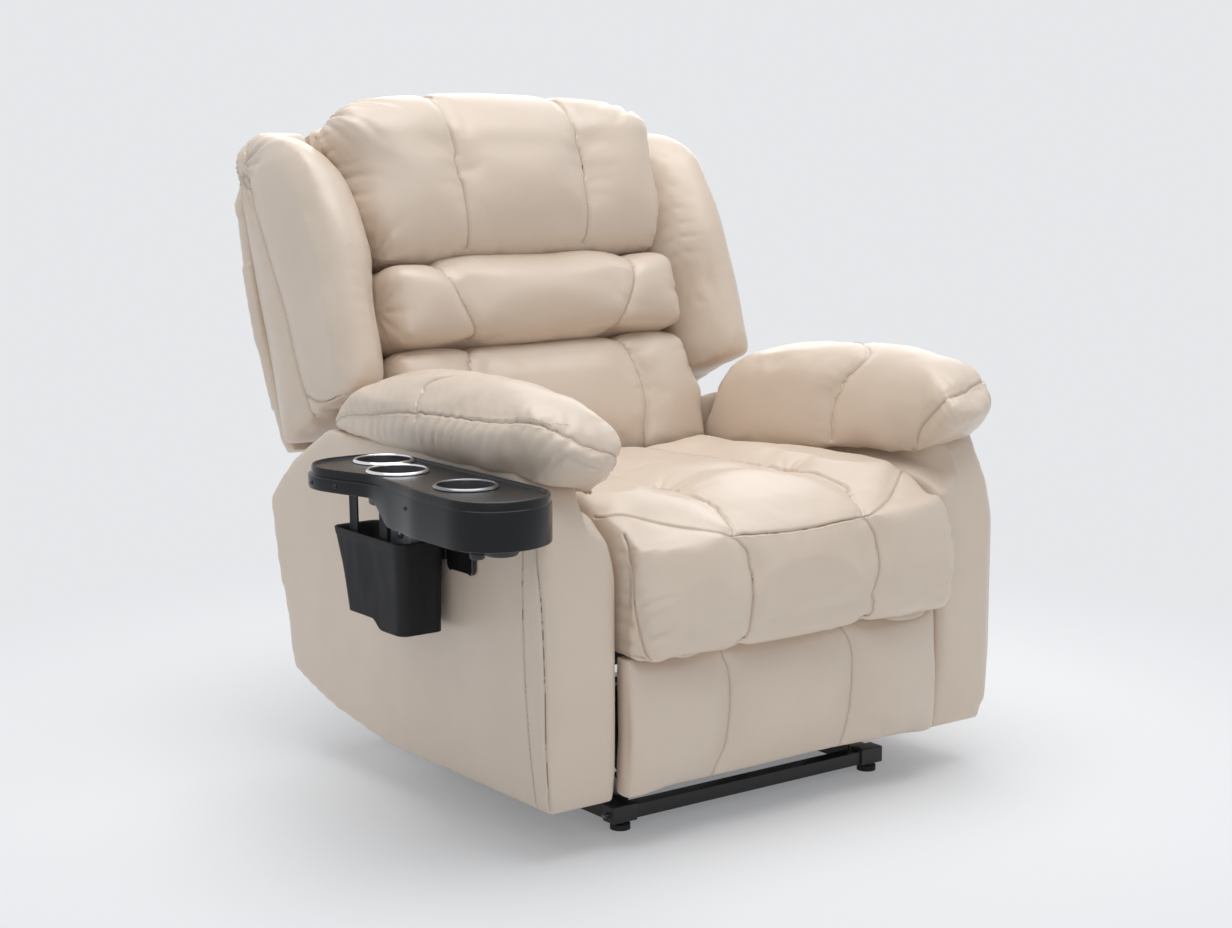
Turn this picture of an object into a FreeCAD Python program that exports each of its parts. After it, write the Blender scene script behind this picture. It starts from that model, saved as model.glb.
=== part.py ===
"""Lift recliner chair: a padded chair on a powered lift and recline mechanism.

Millimetres. +Z is up, the chair faces -Y, and X = 0 is its middle plane.
The floor is Z = 0. Upholstery, mechanism and tray are separate sub-parts.
"""
import FreeCAD
import Part
import math
import os

doc = FreeCAD.newDocument("LiftRecliner")
sheet = doc.addObject("Spreadsheet::Sheet", "Sizes")
V = FreeCAD.Vector
UPRIGHT = FreeCAD.Rotation()
rows = 0
parts = []


def size(alias, value):
    """Store one driving dimension in the sheet and return it."""
    global rows
    rows += 1
    sheet.set(f"A{rows}", alias)
    sheet.set(f"B{rows}", str(value))
    sheet.setAlias(f"B{rows}", alias)
    return float(value)


# Driving dimensions: clearances and stock
fit_gap = size("fit_gap", 0.05)
run_gap = size("run_gap", 0.4)
layer_pitch = size("layer_pitch", 5)
plate_thick = size("plate_thick", 4)
tube_wall = size("tube_wall", 2)
pin_radius = size("pin_radius", 5)
link_radius = size("link_radius", 12)
closing_play = size("closing_play", 2.3)
motor_play = size("motor_play", 4.4)

# Driving dimensions: widths from the middle plane outwards, each piece beside the last
board_half = size("board_half", 279)
seat_plane = size("seat_plane", board_half + plate_thick + 1)
glide_wide = size("glide_wide", 13)
arm_inner = size("arm_inner", seat_plane + glide_wide + 2 * plate_thick + 2)
seat_half = size("seat_half", arm_inner - 5)
arm_foot_wide = size("arm_foot_wide", 113)
arm_belly_wide = size("arm_belly_wide", 135)
arm_foot_half = size("arm_foot_half", arm_inner + arm_foot_wide)
arm_belly_half = size("arm_belly_half", arm_inner + arm_belly_wide)
arm_top_half = size("arm_top_half", arm_belly_half - 8)
pad_inner = size("pad_inner", arm_inner - 9)
pad_outer = size("pad_outer", arm_belly_half + 14)
wing_wide = size("wing_wide", 129)
wing_outer = size("wing_outer", board_half + wing_wide)
panel_half = size("panel_half", wing_outer - 10)

# Driving dimensions: floor frame
rail_middle = size("rail_middle", 242)
rail_width = size("rail_width", 40)
rail_low = size("rail_low", 14)
rail_tall = size("rail_tall", 20)
rail_front = size("rail_front", -306)
rail_rear = size("rail_rear", 300)
bar_depth = size("bar_depth", 24)
cap_width = size("cap_width", 44)
foot_radius = size("foot_radius", 15)
foot_thick = size("foot_thick", 8)

# Driving dimensions: lift linkage pivots, as Y and Z
lift_front_base = (size("front_base_y", -285), size("front_base_z", 52))
lift_front_top = (size("front_top_y", -30), size("front_top_z", 115))
lift_rear_base = (size("rear_base_y", -220.7), size("rear_base_z", 60.9))
lift_rear_top = (size("rear_top_y", 192.5), size("rear_top_z", 150.4))
torque_radius = size("torque_radius", 12)
crank_eye = (size("crank_eye_y", -270), size("crank_eye_z", 105))
lift_tail = (size("lift_tail_y", 250), size("lift_tail_z", 80))

# Driving dimensions: chassis and seat frame
chassis_rail = size("chassis_rail", 30)
front_rail_y = size("front_rail_y", 40)
front_rail_z = size("front_rail_z", 151)
rear_rail_y = size("rear_rail_y", 220)
rear_rail_z = size("rear_rail_z", 185)
glide_top = size("glide_top", 272)
seat_rail = size("seat_rail", 25)
seat_front_y = size("seat_front_y", -232)
seat_front_z = size("seat_front_z", 337)
seat_rear_y = size("seat_rear_y", 226)
seat_rear_z = size("seat_rear_z", 331)

# Driving dimensions: footrest linkage pivots, as Y and Z
foot_main_top = (size("main_top_y", -177.3), size("main_top_z", 296.1))
foot_main_low = (size("main_low_y", -51.9), size("main_low_z", 95.1))
foot_guide_top = (size("guide_top_y", -170.8), size("guide_top_z", 335))
foot_guide_low = (size("guide_low_y", -61.8), size("guide_low_z", 184.8))
foot_upper_rear = (size("upper_rear_y", -15.8), size("upper_rear_z", 196.5))
foot_upper_front = (size("upper_front_y", -342.1), size("upper_front_z", 209.8))
foot_ankle = (size("ankle_y", -350.8), size("ankle_z", 122.1))
spreader = (size("spreader_y", -319), size("spreader_z", 119))
spreader_radius = size("spreader_radius", 9)
drive_rod_radius = size("drive_rod_radius", 9)
back_tube_radius = size("back_tube_radius", 8)
board_front = size("board_front", -376)
board_thick = size("board_thick", 12)
footrest_low = size("footrest_low", 74)
footrest_top = size("footrest_top", 262)
footrest_half = size("footrest_half", seat_half)
footrest_face = size("footrest_face", -412)

# Driving dimensions: back
back_lean = size("back_lean", 18.5)
back_foot = (size("back_foot_y", 240), size("back_foot_z", 403))
back_pivot = (size("back_pivot_y", 280), size("back_pivot_z", 360))
back_crank = (size("back_crank_y", 300), size("back_crank_z", 290))
back_tail = (size("back_tail_y", -110), size("back_tail_z", 262))
back_board_at = size("back_board_at", 61)
back_board_thick = size("back_board_thick", 18)
back_board_tall = size("back_board_tall", 640)
panel_front = size("panel_front", 125)
panel_thick = size("panel_thick", 30)
lower_low = size("lower_low", 4)
lumbar_low = size("lumbar_low", 237)
lumbar_high = size("lumbar_high", 377)
head_high = size("head_high", 680)
wing_top = size("wing_top", 650)

# Driving dimensions: arms
arm_low = size("arm_low", 71)
arm_top = size("arm_top", 545)
arm_front = size("arm_front", -396)
arm_belly = size("arm_belly", -410)
arm_rear = size("arm_rear", 325)
pad_top = size("pad_top", 660)
pad_front = size("pad_front", -450)
pad_rear = size("pad_rear", 196)

# Driving dimensions: seat cushion
seat_low = size("seat_low", 349.9)
seat_top = size("seat_top", 480)
nose_low = size("nose_low", 277)
nose_front = size("nose_front", -438)
seam_half = size("seam_half", 124)

# Driving dimensions: tray and pocket
tray_top = size("tray_top", 540)
tray_inner = size("tray_inner", -arm_belly_half - 10)
tray_floor = size("tray_floor", 4)
cup_radius = size("cup_radius", 39)
cup_wall = size("cup_wall", 2)
cup_deep = size("cup_deep", 46)
ring_radius = size("ring_radius", 45)
ring_thick = size("ring_thick", 2)
pocket_top = size("pocket_top", 432)
pocket_low = size("pocket_low", 298)
pocket_wall = size("pocket_wall", 2.5)
pocket_back = size("pocket_back", -arm_belly_half - 9)
strap_reach = size("strap_reach", 75)
strap_plane = size("strap_plane", pocket_back - strap_reach)
beam_thick = size("beam_thick", 6)
beam_places = (size("beam_front_y", -144), size("beam_rear_y", -50))
cup_places = ((tray_inner - 48, -97), (tray_inner - 79, -186), (tray_inner - 72, -350))


def keep(obj, label):
    """Name a sub-part and put it on the list of files to write."""
    obj.Label = label
    parts.append(obj)
    return obj


def box(name, low, high):
    """A block between two corners."""
    block = doc.addObject("Part::Box", name)
    block.Length = high[0] - low[0]
    block.Width = high[1] - low[1]
    block.Height = high[2] - low[2]
    block.Placement.Base = V(*low)
    return block


def rod(name, radius, start, axis, length):
    """A round bar from a start point along X, Y or Z."""
    bar = doc.addObject("Part::Cylinder", name)
    bar.Radius = radius
    bar.Height = length
    turn = {"X": FreeCAD.Rotation(V(0, 1, 0), 90), "Y": FreeCAD.Rotation(V(1, 0, 0), -90), "Z": UPRIGHT}
    bar.Placement = FreeCAD.Placement(V(*start), turn[axis])
    return bar


def fuse(name, pieces):
    joined = doc.addObject("Part::MultiFuse", name)
    joined.Shapes = pieces
    return joined


def cut(name, base, tool):
    result = doc.addObject("Part::Cut", name)
    result.Base = base
    result.Tool = tool
    return result


def common(name, pieces):
    result = doc.addObject("Part::MultiCommon", name)
    result.Shapes = pieces
    return result


def group(name, pieces):
    """Several loose solids in one sub-part."""
    held = doc.addObject("Part::Compound", name)
    held.Links = pieces
    return held


def mirrored(name, source):
    """The same piece on the other side of the middle plane."""
    other = doc.addObject("Part::Mirroring", name)
    other.Source = source
    other.Normal = V(1, 0, 0)
    return other


def both_sides(label, source):
    return keep(group(label, [source, mirrored(label + "_other", source)]), label)


def draw(sketch, outline, holes=()):
    """Draw a closed outline: each step is a point, or a pair (through, end) for an arc."""
    start = V(*outline[0], 0)
    last = start
    steps = list(outline[1:])
    for step in steps:
        if isinstance(step[0], tuple):
            end = V(*step[1], 0)
            sketch.addGeometry(Part.Arc(last, V(*step[0], 0), end), False)
        else:
            end = V(*step, 0)
            sketch.addGeometry(Part.LineSegment(last, end), False)
        last = end
    if (last - start).Length > 1e-6:
        sketch.addGeometry(Part.LineSegment(last, start), False)
    for centre, radius in holes:
        sketch.addGeometry(Part.Circle(V(*centre, 0), V(0, 0, 1), radius), False)
    return sketch


def plate(name, outline, holes=(), inner="Sizes.seat_plane", thick="Sizes.plate_thick"):
    """A flat plate in the Y-Z plane; its inner face lies at X = inner."""
    body = doc.addObject("PartDesign::Body", name)
    sketch = body.newObject("Sketcher::SketchObject", name + "_outline")
    plane = [item for item in body.Origin.OriginFeatures if item.Role == "YZ_Plane"][0]
    sketch.AttachmentSupport = [(plane, "")]
    sketch.MapMode = "FlatFace"
    draw(sketch, outline, holes)
    pad = body.newObject("PartDesign::Pad", name + "_pad")
    pad.Profile = sketch
    pad.setExpression("Length", thick)
    body.setExpression("Placement.Base.x", inner)
    return body


def capsule(first, second, radius):
    """Outline of a flat bar with round ends about two pivots."""
    along = V(second[0] - first[0], second[1] - first[1], 0).normalize()
    side = V(-along.y, along.x, 0) * radius
    tip = along * radius
    a = V(*first, 0)
    b = V(*second, 0)
    points = [a + side, a - tip, a - side, b - side, b + tip, b + side]
    flat = [(point.x, point.y) for point in points]
    return [flat[0], (flat[1], flat[2]), flat[3], (flat[4], flat[5]), flat[0]]


def corner_plate(pivots, radius):
    """Outline of a three-cornered plate with round corners about its pivots, anticlockwise."""
    steps = []
    count = len(pivots)
    for index in range(count):
        before = V(*pivots[index - 1], 0)
        here = V(*pivots[index], 0)
        after = V(*pivots[(index + 1) % count], 0)
        into = (here - before).normalize()
        out = (after - here).normalize()
        first = here + V(into.y, -into.x, 0) * radius
        last = here + V(out.y, -out.x, 0) * radius
        middle = here + (V(into.y, -into.x, 0) + V(out.y, -out.x, 0)).normalize() * radius
        steps.append((first.x, first.y))
        steps.append(((middle.x, middle.y), (last.x, last.y)))
    steps.append(steps[0])
    return steps


def pin(name, pivot, inner, outer, radius=pin_radius):
    """A pivot pin along X between two X planes."""
    return rod(name, radius, (inner, pivot[0], pivot[1]), "X", outer - inner)


PLANES = {"side": FreeCAD.Rotation(V(1, 1, 1), 120), "front": FreeCAD.Rotation(V(1, 0, 0), 90), "plan": UPRIGHT}


def prism(name, plane, outline, start, length):
    """A closed outline in the side (Y, Z), front (X, Z) or plan (X, Y) plane, given a length."""
    sketch = doc.addObject("Sketcher::SketchObject", name + "_outline")
    along = {"side": V(1, 0, 0), "front": V(0, 1, 0), "plan": V(0, 0, 1)}[plane]
    sketch.Placement = FreeCAD.Placement(along * start, PLANES[plane])
    draw(sketch, outline)
    solid = doc.addObject("Part::Extrusion", name)
    solid.Base = sketch
    solid.DirMode = "Custom"
    solid.Dir = along
    solid.LengthFwd = length
    solid.Solid = True
    return solid


def square_tube(name, axis, low, high):
    """A steel box tube open at both ends, between two corners, along X or Y."""
    outer = box(name + "_outer", low, high)
    wall = tube_wall
    if axis == "X":
        start = (low[0] - 1, low[1] + wall, low[2] + wall)
        end = (high[0] + 1, high[1] - wall, high[2] - wall)
    else:
        start = (low[0] + wall, low[1] - 1, low[2] + wall)
        end = (high[0] - wall, high[1] + 1, high[2] - wall)
    return cut(name, outer, box(name + "_bore", start, end))


# Floor frame
rail_in = rail_middle - rail_width / 2
rail_out = rail_middle + rail_width / 2
rail_high = rail_low + rail_tall


def floor_frame():
    rail = square_tube("floor_rail", "Y", (rail_in, rail_front, rail_low), (rail_out, rail_rear, rail_high))
    both_sides("base_side_rails", rail)
    for label, end_y in (("base_front_bar", rail_front), ("base_rear_bar", rail_rear)):
        low = (-rail_in, end_y - bar_depth, rail_low)
        keep(square_tube(label, "X", low, (rail_in, end_y, rail_high)), label)
    cap_out = rail_in + cap_width
    cap_low = (rail_in, rail_front - bar_depth - 4, rail_low - 2)
    block = box("front_cap_block", cap_low, (cap_out, rail_front, rail_high + 4))
    cap = doc.addObject("Part::Fillet", "front_cap")
    cap.Base = block
    cap.Edges = [(edge, 3.0, 3.0) for edge in (2, 6)]
    plug = box("rear_cap", (rail_in, rail_rear, rail_low - 2), (rail_out, rail_rear + 4, rail_high + 2))
    pieces = [cap, mirrored("front_cap_other", cap), plug, mirrored("rear_cap_other", plug)]
    keep(group("base_end_caps", pieces), "base_end_caps")
    feet = []
    for place, under in ((rail_front - 14, rail_low - 2), (rail_rear - 18, rail_low)):
        foot = rod("foot_pad", foot_radius, (rail_middle + 2, place, 0), "Z", foot_thick)
        stem = rod("foot_stem", 5, (rail_middle + 2, place, foot_thick), "Z", under - foot_thick)
        whole = fuse("foot", [foot, stem])
        feet += [whole, mirrored("foot_other", whole)]
    keep(group("levelling_feet", feet), "levelling_feet")
    head = rod("cap_bolt", 4, (cap_out, rail_front - 14, rail_low + 10), "X", 6)
    shank = rod("cap_bolt_tip", 2.5, (cap_out + 6, rail_front - 14, rail_low + 10), "X", 4)
    bolt = fuse("cap_bolt_whole", [head, shank])
    keep(group("base_bolts", [bolt, mirrored("cap_bolt_other", bolt)]), "base_bolts")


def floor_brackets():
    """Ear plates on the floor rails: the torque tube turns in them, the rear links hang on their pins."""
    front_y, front_z = lift_front_base
    rear_y, rear_z = lift_rear_base
    collar = torque_radius + 8
    front_edge = front_y - collar
    rear_edge = rear_y + link_radius + 1
    outline = [(front_edge, rail_low), (front_edge, front_z)]
    outline += [((front_y, front_z + collar), (front_y + collar, front_z))]
    outline += [(rear_y - link_radius - 1, rear_z), ((rear_y, rear_z + link_radius + 1), (rear_edge, rear_z))]
    outline += [(rear_edge, rail_low)]
    bearing = [(lift_front_base, torque_radius + fit_gap)]
    ear = plate("base_ear", outline, bearing, "Sizes.rail_middle - Sizes.rail_width / 2 - Sizes.plate_thick")
    ear_in = rail_in - plate_thick
    hung = pin("base_ear_pin", lift_rear_base, ear_in - layer_pitch - 1, ear_in + 1)
    both_sides("base_brackets", fuse("base_bracket", [ear, hung]))
    tail_y, tail_z = lift_tail
    bar_y = rail_rear - bar_depth
    cheek = [(bar_y, rail_high), (rail_rear, rail_high), (rail_rear, rail_high + 18), (tail_y + 8, tail_z + 10)]
    cheek += [((tail_y - 4, tail_z + 13), (tail_y - 12, tail_z - 4)), (tail_y - 8, tail_z - 12)]
    side = plate("motor_cheek", cheek, [], "16 mm")
    other = mirrored("motor_cheek_other", side)
    bolt = pin("motor_tail_pin", lift_tail, -22, 22)
    keep(fuse("motor_clevis", [side, other, bolt]), "motor_clevis")


# Lift linkage
ear_inner = rail_in - plate_thick
rear_link_in = ear_inner - layer_pitch
front_link_in = ear_inner + layer_pitch
top_ear_in = front_link_in + layer_pitch


def lift_linkage():
    front_hole = [(lift_front_top, pin_radius + fit_gap)]
    front = plate("front_link", capsule(lift_front_base, lift_front_top, link_radius + 1), front_hole,
                  "Sizes.rail_middle - Sizes.rail_width / 2 - Sizes.plate_thick + Sizes.layer_pitch")
    both_sides("front_lift_links", front)
    tube = pin("torque_tube", lift_front_base, -front_link_in, front_link_in, torque_radius)
    eye = [(crank_eye, pin_radius + motor_play)]
    cheek = plate("crank_cheek", capsule(lift_front_base, crank_eye, 16), eye, "12 mm")
    keep(fuse("lift_torque_tube", [tube, cheek, mirrored("crank_cheek_other", cheek)]), "lift_torque_tube")
    rear_holes = [(lift_rear_base, pin_radius + fit_gap), (lift_rear_top, pin_radius + closing_play)]
    rear = plate("rear_link", capsule(lift_rear_base, lift_rear_top, link_radius + 1), rear_holes,
                 "Sizes.rail_middle - Sizes.rail_width / 2 - Sizes.plate_thick - Sizes.layer_pitch")
    both_sides("rear_lift_links", rear)


def chassis():
    """The frame that lifts: side plates, two cross rails and the ears that the lift links carry."""
    half = chassis_rail / 2
    side_in = arm_inner - plate_thick
    low = front_rail_z - half
    outline = [(-205, low), (front_rail_y + 60, low), (rear_rail_y, low + 14), (298, low + 14), (298, low + 60)]
    outline += [(240, glide_top + 14), (-70, glide_top + 14), (-205, low + 70)]
    side = plate("chassis_side", outline, [], "Sizes.arm_inner - Sizes.plate_thick")
    both_sides("chassis_side_plates", side)
    rails = (("chassis_front_rail", front_rail_y, front_rail_z), ("chassis_rear_rail", rear_rail_y, rear_rail_z))
    for label, y, z in rails:
        rail = square_tube(label, "X", (-side_in, y - half, z - half), (side_in, y + half, z + half))
        keep(rail, label)
    top_y, top_z = lift_front_top
    reach = link_radius + 1
    face = front_rail_y - half
    ear = [(top_y, top_z - reach), (top_y + reach, top_z - 4), (face, front_rail_z - half)]
    ear += [(face, front_rail_z + half)]
    ear += [(face - 12, front_rail_z + half), (top_y - 9, top_z + 9.4), ((top_y - reach, top_z), (top_y, top_z - reach))]
    front_ear = plate("front_ear", ear, [], f"{top_ear_in} mm")
    front_pin = pin("front_ear_pin", lift_front_top, front_link_in - 0.5, top_ear_in + 1)
    front_whole = fuse("front_ear_whole", [front_ear, front_pin])
    end_y, end_z = lift_rear_top
    low_z = rear_rail_z - half
    tail = [(end_y - reach, end_z), ((end_y - 6, end_z - 11.5), (end_y + 9, end_z - 9.4))]
    tail += [(rear_rail_y + half, low_z)]
    tail += [(rear_rail_y - half, low_z), (rear_rail_y - half, low_z + 12)]
    rear_ear = plate("rear_ear", tail, [], f"{ear_inner} mm")
    rear_pin = pin("rear_ear_pin", lift_rear_top, rear_link_in - 0.5, ear_inner + 1)
    rear_whole = fuse("rear_ear_whole", [rear_ear, rear_pin])
    ears = [front_whole, mirrored("front_ear_other", front_whole)]
    ears += [rear_whole, mirrored("rear_ear_other", rear_whole)]
    keep(group("chassis_link_ears", ears), "chassis_link_ears")
    glide = box("glide_bar", (side_in - glide_wide, -60, glide_top - 10), (side_in, 220, glide_top))
    both_sides("seat_glide_bars", glide)


# Seat frame
def seat_frame():
    half = seat_rail / 2
    o_y, o_z = foot_main_top
    g_y, g_z = foot_guide_top
    b_y, b_z = back_pivot
    front_y = seat_front_y - half
    front_z = seat_front_z
    outline = [(front_y, front_z - half - 4), (o_y - 22, o_z + 8), ((o_y - 10, o_z - 12), (o_y + 6, o_z - 14))]
    outline += [(200, glide_top + 12), (b_y + 14, b_z - 9), ((b_y + 11, b_z + 12), (b_y - 6, b_z + 15.4))]
    outline += [(200, 324), (g_y + 40, 324), (g_y + 11, g_z + 7), ((g_y + 5, g_z + 12), (g_y - 4, g_z + 13))]
    outline += [(front_y, front_z + half)]
    holes = [(pivot, pin_radius + fit_gap) for pivot in (foot_main_top, foot_guide_top, back_pivot)]
    side = plate("seat_side", outline, holes)
    both_sides("seat_side_plates", side)
    rails = (("seat_front_rail", seat_front_y, seat_front_z), ("seat_rear_rail", seat_rear_y, seat_rear_z))
    for label, y, z in rails:
        rail = square_tube(label, "X", (-seat_plane, y - half, z - half), (seat_plane, y + half, z + half))
        keep(rail, label)
    blocks = []
    for middle in (0, 150):
        start = (seat_plane + plate_thick, middle - 18, glide_top + run_gap)
        end = (arm_inner - plate_thick - run_gap, middle + 18, glide_top + 12)
        block = box("glide_block", start, end)
        blocks += [block, mirrored("glide_block_other", block)]
    keep(group("seat_glide_blocks", blocks), "seat_glide_blocks")
    tail_y, tail_z = back_tail
    hanger = box("motor_hanger_bar", (-40, front_y + seat_rail, front_z - 3), (40, tail_y + 12, front_z + 3))
    cheek = [(tail_y - 12, front_z), (tail_y + 12, front_z), (tail_y + 12, tail_z)]
    cheek += [((tail_y, tail_z - 12), (tail_y - 12, tail_z))]
    lug = plate("hanger_lug", cheek, [], "16 mm")
    bolt = pin("hanger_pin", back_tail, -22, 22)
    keep(fuse("back_motor_hanger", [hanger, lug, mirrored("hanger_lug_other", lug), bolt]), "back_motor_hanger")


def zigzag(label):
    """Flat zigzag ribbons stand in for the spring wire's run: one cut ribbon per spring."""
    start = seat_front_y + seat_rail / 2
    end = seat_rear_y - seat_rail / 2
    turns = 10
    step = (end - start) / turns
    wire = 3.2
    swing = 24
    springs = []
    for index in range(5):
        middle = (index - 2) * 104
        near = [(middle - wire / 2, start)]
        far = [(middle + wire / 2, start)]
        for turn in range(1, turns):
            shift = swing if turn % 2 else -swing
            near.append((middle + shift - wire / 2, start + turn * step))
            far.append((middle + shift + wire / 2, start + turn * step))
        near.append((middle - wire / 2, end))
        far.append((middle + wire / 2, end))
        outline = near + far[::-1]
        springs.append(prism(f"spring_{index}", "plan", outline, seat_front_z + 4, wire))
    keep(group(label, springs), label)


# Footrest linkage, in four plate layers counted inwards from the seat side plates
def layer(number):
    return f"Sizes.seat_plane - {number} * Sizes.layer_pitch"


def layer_at(number):
    return seat_plane - number * layer_pitch


def footrest_linkage():
    reach = link_radius - 1
    main_holes = [(foot_main_low, pin_radius + fit_gap), (foot_upper_rear, pin_radius + fit_gap)]
    main = plate("main_link", corner_plate([foot_main_top, foot_main_low, foot_upper_rear], reach), main_holes, layer(1))
    main_pin = pin("main_link_pin", foot_main_top, layer_at(1) + 1, seat_plane + plate_thick + 1)
    both_sides("footrest_main_links", fuse("main_link_whole", [main, main_pin]))
    guide_holes = [(foot_guide_low, pin_radius + closing_play - 1)]
    guide = plate("guide_link", capsule(foot_guide_top, foot_guide_low, reach), guide_holes, layer(2))
    guide_pin = pin("guide_link_pin", foot_guide_top, layer_at(2) + 1, seat_plane + plate_thick + 1)
    both_sides("footrest_guide_links", fuse("guide_link_whole", [guide, guide_pin]))
    long_holes = [(foot_ankle, pin_radius + fit_gap)]
    long_outline = corner_plate([foot_ankle, foot_main_low, foot_guide_low], reach)
    long_plate = plate("long_link", long_outline, long_holes, layer(3))
    low_pin = pin("long_link_low_pin", foot_main_low, layer_at(3) + 1, layer_at(1) + plate_thick + 0.5)
    top_pin = pin("long_link_top_pin", foot_guide_low, layer_at(3) + 1, layer_at(2) + plate_thick + 0.5)
    both_sides("footrest_long_links", fuse("long_link_whole", [long_plate, low_pin, top_pin]))
    cross = pin("footrest_spreader", spreader, -layer_at(3), layer_at(3), spreader_radius)
    keep(cross, "footrest_spreader_tube")
    upper_holes = [(foot_upper_front, pin_radius + closing_play)]
    upper = plate("upper_link", capsule(foot_upper_rear, foot_upper_front, reach), upper_holes, layer(0))
    upper_pin = pin("upper_link_pin", foot_upper_rear, layer_at(1) - 0.5, seat_plane + 1)
    both_sides("footrest_upper_links", fuse("upper_link_whole", [upper, upper_pin]))


def footrest_panel():
    board_rear = board_front + board_thick
    ankle_y, ankle_z = foot_ankle
    top_y, top_z = foot_upper_front
    outline = [(board_front, ankle_z - 22), (board_rear + 4, ankle_z - 22), (ankle_y + 12, ankle_z - 6)]
    outline += [(top_y + 12, top_z + 2), ((top_y + 2, top_z + 12), (top_y - 10, top_z + 12))]
    outline += [(board_rear + 4, top_z + 24), (board_front, top_z + 24)]
    side = plate("footrest_ear", outline, [], layer(2))
    low_pin = pin("ankle_pin", foot_ankle, layer_at(3) - 0.5, layer_at(2) + 1)
    top_pin = pin("upper_front_pin", foot_upper_front, layer_at(2) + 1, seat_plane + plate_thick + 0.5)
    both_sides("footrest_brackets", fuse("footrest_bracket", [side, low_pin, top_pin]))
    wide = layer_at(2)
    board = box("footrest_board", (-wide, board_front, footrest_low + 6), (wide, board_rear, footrest_top - 6))
    keep(board, "footrest_board")
    low = footrest_low
    top = footrest_top
    face = footrest_face
    side_view = [(board_front, low), (board_front - 12, low), ((face + 4, low + 6), (face + 2, low + 22))]
    side_view += [((face - 4, (low + top) / 2), (face + 1, top - 28)), ((face + 9, top - 8), (board_front - 8, top))]
    side_view += [(board_front, top)]
    body = prism("footrest_side", "side", side_view, -footrest_half, 2 * footrest_half)
    pad = lobed("footrest_pad", body, footrest_half, seam_half, face - 4, 7, board_front, low - 5, top - low + 10)
    keep(pad, "footrest_pad")


def lobed(name, body, half, seam, front, groove, rear, low, tall):
    """Trim a cushion in plan: rounded ends and three lobes that meet at two seams."""
    outline = [(-half + 12, rear), (-half, rear), ((-half - 2, (front + rear) / 2), (-half + 16, front + 8))]
    outline += [((-(half + seam) / 2, front), (-seam, front + groove)), ((0, front - 1), (seam, front + groove))]
    outline += [(((half + seam) / 2, front), (half - 16, front + 8)), ((half + 2, (front + rear) / 2), (half, rear))]
    trim = prism(name + "_plan", "plan", outline, low, tall)
    return common(name, [body, trim])


# Upholstery
def arm_body(label):
    top = arm_top
    side_view = [(arm_front, arm_low), ((arm_belly, 300), (-398, 440)), ((-378, 500), (-330, top)), (190, top)]
    side_view += [(302, 482), (365, 414), (arm_rear, 210), (arm_rear, 137), ((100, 78), (-100, arm_low))]
    profile = prism(label + "_side", "side", side_view, arm_inner, arm_belly_half - arm_inner)
    front_view = [(arm_inner, arm_low - 5), (arm_foot_half, arm_low - 5)]
    front_view += [((arm_belly_half, 350), (arm_top_half, top + 5)), (arm_inner, top + 5)]
    bulge = prism(label + "_front", "front", front_view, -440, 860)
    nose = arm_belly - 2
    plan = [(arm_inner, nose + 30), ((arm_inner + 8, nose + 9), (arm_inner + 32, nose)), (arm_foot_half - 30, nose)]
    side = arm_belly_half + 2
    plan += [((side - 16, nose + 12), (side, nose + 60)), (side, 380), (arm_inner, 380)]
    corner = prism(label + "_plan", "plan", plan, arm_low - 10, top - arm_low + 20)
    return common(label, [profile, bulge, corner])


def arm_pad(label):
    low = arm_top + run_gap
    side_view = [(pad_rear - 8, low), (-330, low), ((-378, 502), (-398.6, 452)), ((-420, 476), (pad_front + 4, 530))]
    side_view += [((pad_front + 2, 600), (-380, 645)), ((-150, pad_top + 4), (80, 620)), ((138, 596), (pad_rear - 8, 556))]
    profile = prism(label + "_side", "side", side_view, pad_inner - 5, pad_outer - pad_inner + 10)
    middle = (pad_inner + pad_outer) / 2
    front_view = [(pad_inner + 10, 445), ((pad_inner - 6, 560), (pad_inner + 22, 628))]
    front_view += [((middle, pad_top + 6), (pad_outer - 22, 628))]
    front_view += [((pad_outer + 3, 596), (pad_outer - 8, tray_top + 2)), (pad_outer - 30, 445)]
    round_top = prism(label + "_front", "front", front_view, pad_front - 10, pad_rear - pad_front + 20)
    plan = [(pad_inner + 14, pad_rear), (pad_inner + 2, 100), ((pad_inner - 2, -150), (pad_inner + 8, -390))]
    plan += [((pad_inner + 26, -440), (middle, pad_front - 1)), ((pad_outer - 22, -438), (pad_outer - 2, -370))]
    plan += [((pad_outer + 3, -150), (pad_outer - 8, 100)), (pad_outer - 24, pad_rear)]
    corner = prism(label + "_plan", "plan", plan, 440, pad_top - 420)
    return common(label, [profile, round_top, corner])


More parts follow.
